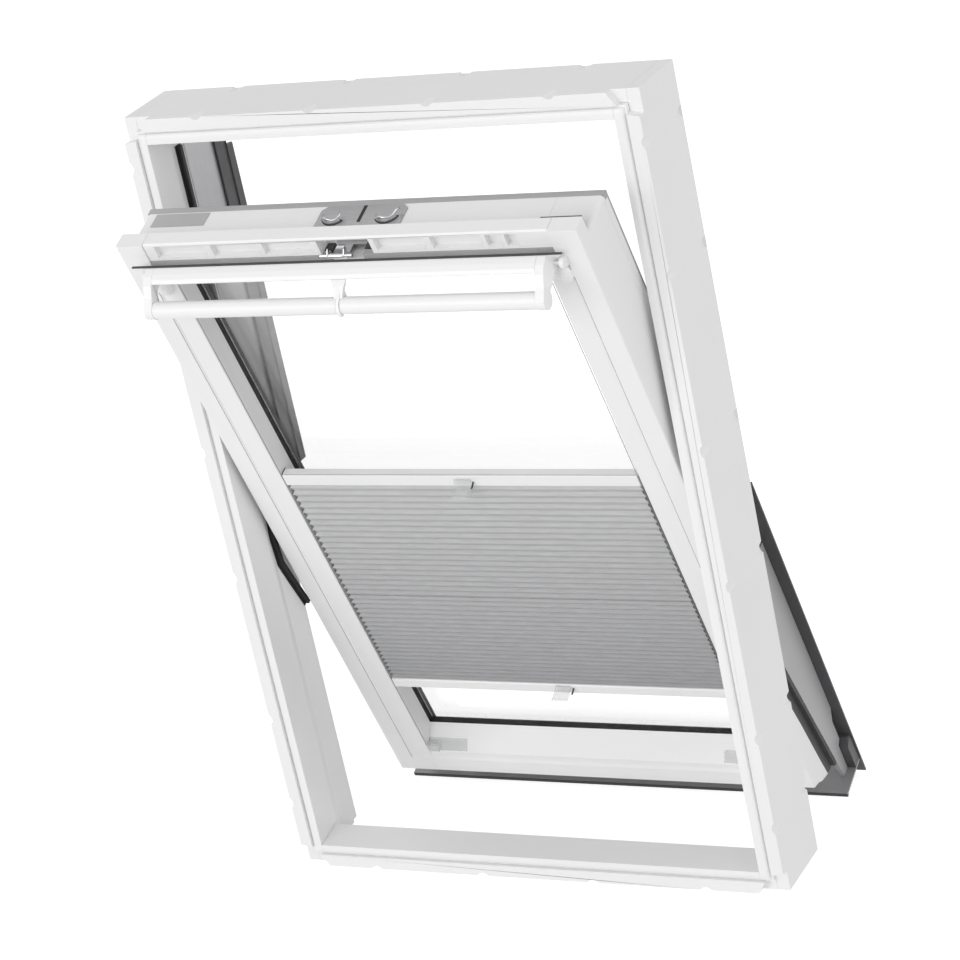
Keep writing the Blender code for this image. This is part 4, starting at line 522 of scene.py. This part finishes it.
def wire(name, path, radius, body, slot, sides=10):
    """A round wire along a path of points in the sash's axes."""
    bm = bmesh.new()
    rings = []
    points = [Vector(p) for p in path]
    for i, point in enumerate(points):
        along = (points[min(i + 1, len(points) - 1)] - points[max(i - 1, 0)]).normalized()
        first = along.orthogonal().normalized() if i == 0 else (first - along * first.dot(along)).normalized()
        second = along.cross(first)
        turns = [2 * math.pi * k / sides for k in range(sides)]
        rings.append([bm.verts.new(SASH @ (point + radius * (math.cos(a) * first + math.sin(a) * second)))
                      for a in turns])
    for lower, upper in zip(rings, rings[1:]):
        for k in range(sides):
            j = (k + 1) % sides
            bm.faces.new((lower[k], lower[j], upper[j], upper[k]))
    bm.faces.new(rings[0])
    bm.faces.new(rings[-1])
    return piece(name, bm, body, slot)


def span(side, inner, outer):
    """The ends of a length across the window, on its left (-1) or right (1) side, in rising order."""
    return sorted((side * inner, side * outer))


def latch_details():
    """Bright wire hooks with a dark film of painted shade under them, which stands for depth, and the barrel on
    its link.
    """
    for label, side in (("left", -1), ("right", 1)):
        start, end = (195, 330) if side < 0 else (210, 345)
        shade_film = arc(side * HOOK_X, HOOK_W, HOOK_OUTER, start, end, 12)
        shade_film += arc(side * HOOK_X, HOOK_W, HOOK_INNER, end, start, 12)
        extruded(f"hook_shade_film_{label}", shade_film, "v", FILM_BACK, FILM_FACE, SASH, "sash", "black_rubber",
                 0.00003)
        bend = arc(side * HOOK_X, WIRE_W, WIRE_BEND, start - 5, end + 5, 10)
        path = [(x, w, PLATE_FACE + WIRE_HEIGHT - WIRE_WAVE * math.cos(i * 0.9))
                for i, (x, w) in enumerate(bend)]
        path.append((path[-1][0] + side * WIRE_TAIL[0], path[-1][1] + WIRE_TAIL[1], PLATE_FACE + WIRE_TAIL[2]))
        wire(f"hook_wire_{label}", path, WIRE_RADIUS, "latch", "chrome")
    # Dark film of painted shade over the latch plate's slot, which stands for its depth
    extruded("slot_shade_film", rectangle(-0.0022, 0.0560, 0.0030, 0.0880), "v", FILM_BACK, FILM_FACE, SASH,
             "sash", "black_rubber", 0.00003)
    barrel = [(LINK_X + x, LINK_W, LINK_V) for x in (-0.0110, -0.0095, 0.0095, 0.0110)]
    wire("link_barrel", barrel, BARREL_RADIUS, "latch", "chrome", 18)
    foot = LINK_W - CHEEK_FOOT
    for label, x in (("left", -0.0130), ("right", 0.0115)):
        outline = [(foot, LINK_V - 0.0022), (CHEEK_FACE, LINK_V + 0.0010), (CHEEK_FACE, LINK_V + 0.0080),
                   (-0.0026, LINK_V + 0.0080), (foot, LINK_V + 0.0026)]
        extruded(f"link_cheek_{label}", outline, "x", LINK_X + x, LINK_X + x + CHEEK_THICKNESS, SASH, "latch",
                 "chrome", 0.0002)


def side_fittings(label, side):
    """Linings, foam, strips of painted shade and sealant that stand on each side of the window."""
    # Lining on the frame's wall behind the weather seal, above the pivot plates
    near, far = span(side, WALL_X - 0.0009, WALL_X - 0.0003)
    extruded(f"wall_lining_{label}", rectangle(near, LINING_FRONT, far, UPPER_DEPTH), "v", LINING_LOW,
             FRAME_HEIGHT - LINING_BELOW_TOP, FRAME, "frame", "light_grey_aluminium")
    # Filter foam in the mouth of the vent slot, with its thin end on the stile's face
    extruded(f"vent_foam_{label}", rectangle(FOAM_FRONT, FOAM_LOW, FOAM_BACK, FOAM_HIGH), "x",
             *span(side, 0.026, REVEAL_X - 0.0006), SASH, "sash", "grey_rubber")
    extruded(f"vent_foam_end_{label}", rectangle(FOAM_FRONT, FOAM_LOW, 0.0026, FOAM_HIGH), "x",
             *span(side, REVEAL_X - 0.0004, 0.3024), SASH, "sash", "grey_rubber")
    # Round cover over the handle's hinge lug
    extruded(f"hinge_cover_{label}", arc(HINGE_W, HINGE_V, HINGE_COVER_RADIUS, 0, 345, 23), "x",
             *span(side, 0.3103, 0.3168), SASH, "sash", "white_frame_plastic", 0.0016)
    # Pale strip in front of the cladding's edge, where the collar's scoops would bare it
    near, far = span(side, 0.3700, 0.3898)
    extruded(f"clad_backing_{label}", rectangle(near, BACKING_FRONT, far, BACKING_BACK), "v", 0.586, 1.1780,
             FRAME, "frame", "white_foam_skin", 0.00004)
    # Grey strip of painted shade down the stile's face, where its inner part is set back
    near, far = span(side, STILE_FOLD - 0.0002, STILE_FOLD + 0.0005)
    extruded(f"face_seam_{label}", rectangle(near, -0.0001, far, 0.0010), "v", 0.0290, 1.0400, SASH, "sash",
             "grey_rubber", 0.00008)
    # White return of the stile over the edge of the cladding
    near, far = span(side, HALF_SASH + 0.00005, HALF_SASH + 0.0006)
    extruded(f"stile_return_{label}", rectangle(near, 0.0860, far, 0.0962), "v", 0.5700, SASH_TOP - 0.0080,
             SASH, "sash", "white_frame_plastic", 0.0002)
    # Bead of sealant between the spacer and the inner pane, up each side, drawn off-white as painted light seen
    # through the pane's edge
    near, far = span(side, REVEAL_X + 0.0004, REVEAL_X + 0.0040)
    extruded(f"sealant_side_{label}", rectangle(near, 0.05085, far, 0.05105), "v", 0.0600, 1.0300, SASH,
             "sash", "clear_cord", 0.00005)


def fittings():
    """Small pieces that the solids leave out: linings, foam, strips of painted shade, sealant and hooks."""
    for label, side in (("left", -1), ("right", 1)):
        side_fittings(label, side)
    extruded("clad_backing_head", rectangle(BACKING_FRONT, 1.1625, BACKING_BACK, 1.1788), "x", -0.351, 0.351,
             FRAME, "frame", "white_foam_skin", 0.00004)
    # Dark grey strip of painted shade behind the right ear's top, at its step down
    extruded("ear_painted_shade", rectangle(0.0257, SASH_TOP + 0.0003, 0.0286, SASH_HEIGHT - 0.0008), "x", 0.2850, 0.3432,
             SASH, "sash", "grey_rubber")
    latch_details()
    # Blade of the handle's middle bracket, which hooks over the tube's front
    outline = [(-0.0372, HINGE_V + 0.0060), (-0.0500, HINGE_V - 0.0050), (-0.0600, TUBE_V + 0.0105),
               (-0.0668, TUBE_V + 0.0020), (-0.0672, TUBE_V - 0.0050), (-0.0630, TUBE_V - 0.0110)]
    outline += arc(TUBE_W, TUBE_V, 0.0121, 235, 95, 12) + [(-0.0440, HINGE_V - 0.0090)]
    extruded("bracket_blade", outline, "x", -0.0024, 0.0024, SASH, "handle", "white_gloss_plastic", 0.0006)
    # Grey strip of painted shade between the top rail's lip and its strip
    line = rectangle(BLIND_FRONT + 0.0017, TOP_RAIL_HIGH - 0.0012, BLIND_FRONT + 0.0024, TOP_RAIL_HIGH + 0.0001)
    extruded("face_seam_rail", line, "x", -0.2770, 0.2770, SASH, "blind_top", "grey_rubber", 0.00008)
    # Black strip on the drip plate's front lip: painted shade on its front edge
    half = HALF_SASH + 0.0205
    extruded("drip_lip_painted_shade", rectangle(0.0421, -0.0704, 0.0429, -0.0642), "x", -half, half, SASH, "sash",
             "black_rubber")
    # Loop of coated wire beside each grip
    tip = BLIND_FRONT - GRIP_HOOK_REACH
    for name, body, height in (("cord_hook_top", "blind_top", 0.6420),
                               ("cord_hook_bottom", "blind_bottom", 0.2065)):
        outline = [(BLIND_FRONT - 0.0002, height), (BLIND_FRONT - 0.0002, height - 0.0016),
                   (BLIND_FRONT - 0.0060, height - 0.0040), (tip, height - 0.0040),
                   (tip, height - 0.0024), (BLIND_FRONT - 0.0058, height - 0.0022)]
        extruded(name, outline, "x", 0.0240, 0.0262, SASH, body, "clear_cord")
    # End caps that close the top rail's snap-in strip
    cap = rectangle(0.0050, TOP_RAIL_SPLIT - 0.002, 0.0172, TOP_RAIL_HIGH + 0.0005)
    for label, side in (("left", -1), ("right", 1)):
        extruded(f"strip_cap_{label}", cap, "x", *span(side, BLIND_HALF + 0.0002, BLIND_HALF + 0.0010), SASH,
                 "blind_top", "grey_rubber")


def studio():
    """A pale floor, a white surround, soft lights and the photograph's camera."""
    low = cad_box[0][2] - 0.002
    bm = bmesh.new()
    size = 14
    bm.faces.new([bm.verts.new((x * size, y * size, low)) for x, y in ((-1, -1), (1, -1), (1, 1), (-1, 1))])
    mesh = bpy.data.meshes.new("floor")
    bm.to_mesh(mesh)
    bm.free()
    floor = bpy.data.objects.new("floor", mesh)
    bpy.context.collection.objects.link(floor)
    # Matt painted floor: pale and even, it takes the object's soft shadow
    paint, tree, shader, place = start_material("matt_floor_paint", 0.9, 1.50)
    shader.inputs["Base Color"].default_value = (FLOOR, FLOOR, FLOOR, 1)
    shader.inputs["Specular IOR Level"].default_value = 0.0
    lit = AMBIENT + sum(power * math.sin(height) / math.pi for name, turn, height, power, spread in LIGHTS)
    glow = add(tree, "ShaderNodeEmission", {1: seen(tree, FLOOR_GLOW, FLOOR_SEEN - FLOOR * lit)})
    total = add(tree, "ShaderNodeAddShader", {0: shader.outputs[0], 1: glow.outputs[0]})
    tree.links.new(total.outputs[0], tree.nodes["Material Output"].inputs["Surface"])
    mesh.materials.append(paint)

    world = bpy.data.worlds.new("studio")
    bpy.context.scene.world = world
    world.use_nodes = True
    tree = world.node_tree
    tree.links.new(seen(tree, AMBIENT, 1.0), tree.nodes["Background"].inputs["Strength"])
    tree.nodes["Background"].inputs["Color"].default_value = (1, 1, 1, 1)

    for name, turn, height, power, spread in LIGHTS:
        data = bpy.data.lights.new(name, "SUN")
        data.angle = spread
        data.energy = power
        lamp = bpy.data.objects.new(name, data)
        bpy.context.collection.objects.link(lamp)
        come = Vector((math.sin(turn) * math.cos(height), -math.cos(turn) * math.cos(height), math.sin(height)))
        lamp.rotation_euler = (-come).to_track_quat("-Z", "Y").to_euler()

    data = bpy.data.cameras.new("camera")
    data.lens = CAMERA_LENS
    data.clip_end = 50
    camera = bpy.data.objects.new("camera", data)
    bpy.context.collection.objects.link(camera)
    camera.location = CAMERA_AT
    camera.rotation_euler = [math.radians(a) for a in CAMERA_TURN]
    bpy.context.scene.camera = camera
    bpy.context.scene.view_settings.view_transform = "Standard"


def seen(tree, light, shown):
    """The strength that lights the object, or the one that the eye, metal and glass see behind it."""
    rays = add(tree, "ShaderNodeLightPath")
    eye = add(tree, "ShaderNodeMath", operation="MAXIMUM",
              links={0: rays.outputs["Is Camera Ray"], 1: rays.outputs["Is Transmission Ray"]})
    both = add(tree, "ShaderNodeMath", {0: eye.outputs[0], 1: rays.outputs["Is Glossy Ray"]},
               operation="MAXIMUM")
    level = add(tree, "ShaderNodeMapRange", {0: both.outputs[0]}, {1: 0.0, 2: 1.0, 3: light, 4: shown})
    return level.outputs[0]


# Surround's strength, floor's shade and glow, and the lamps: name, turn from the front, height, strength
# and softness
AMBIENT = 0.60
FLOOR = 0.55
FLOOR_SEEN = 1.20
FLOOR_GLOW = 0.28
LIGHTS = (
    ("key", math.radians(-15), math.radians(12), 1.25, math.radians(50)),
    ("fill", math.radians(75), math.radians(20), 0.55, math.radians(60)),
)

studio()
dress_nodes()
fabric_half("blind_fabric_lower", 0, PLEATS)
fabric_half("blind_fabric_upper", PLEATS, 2 * PLEATS)
fittings()
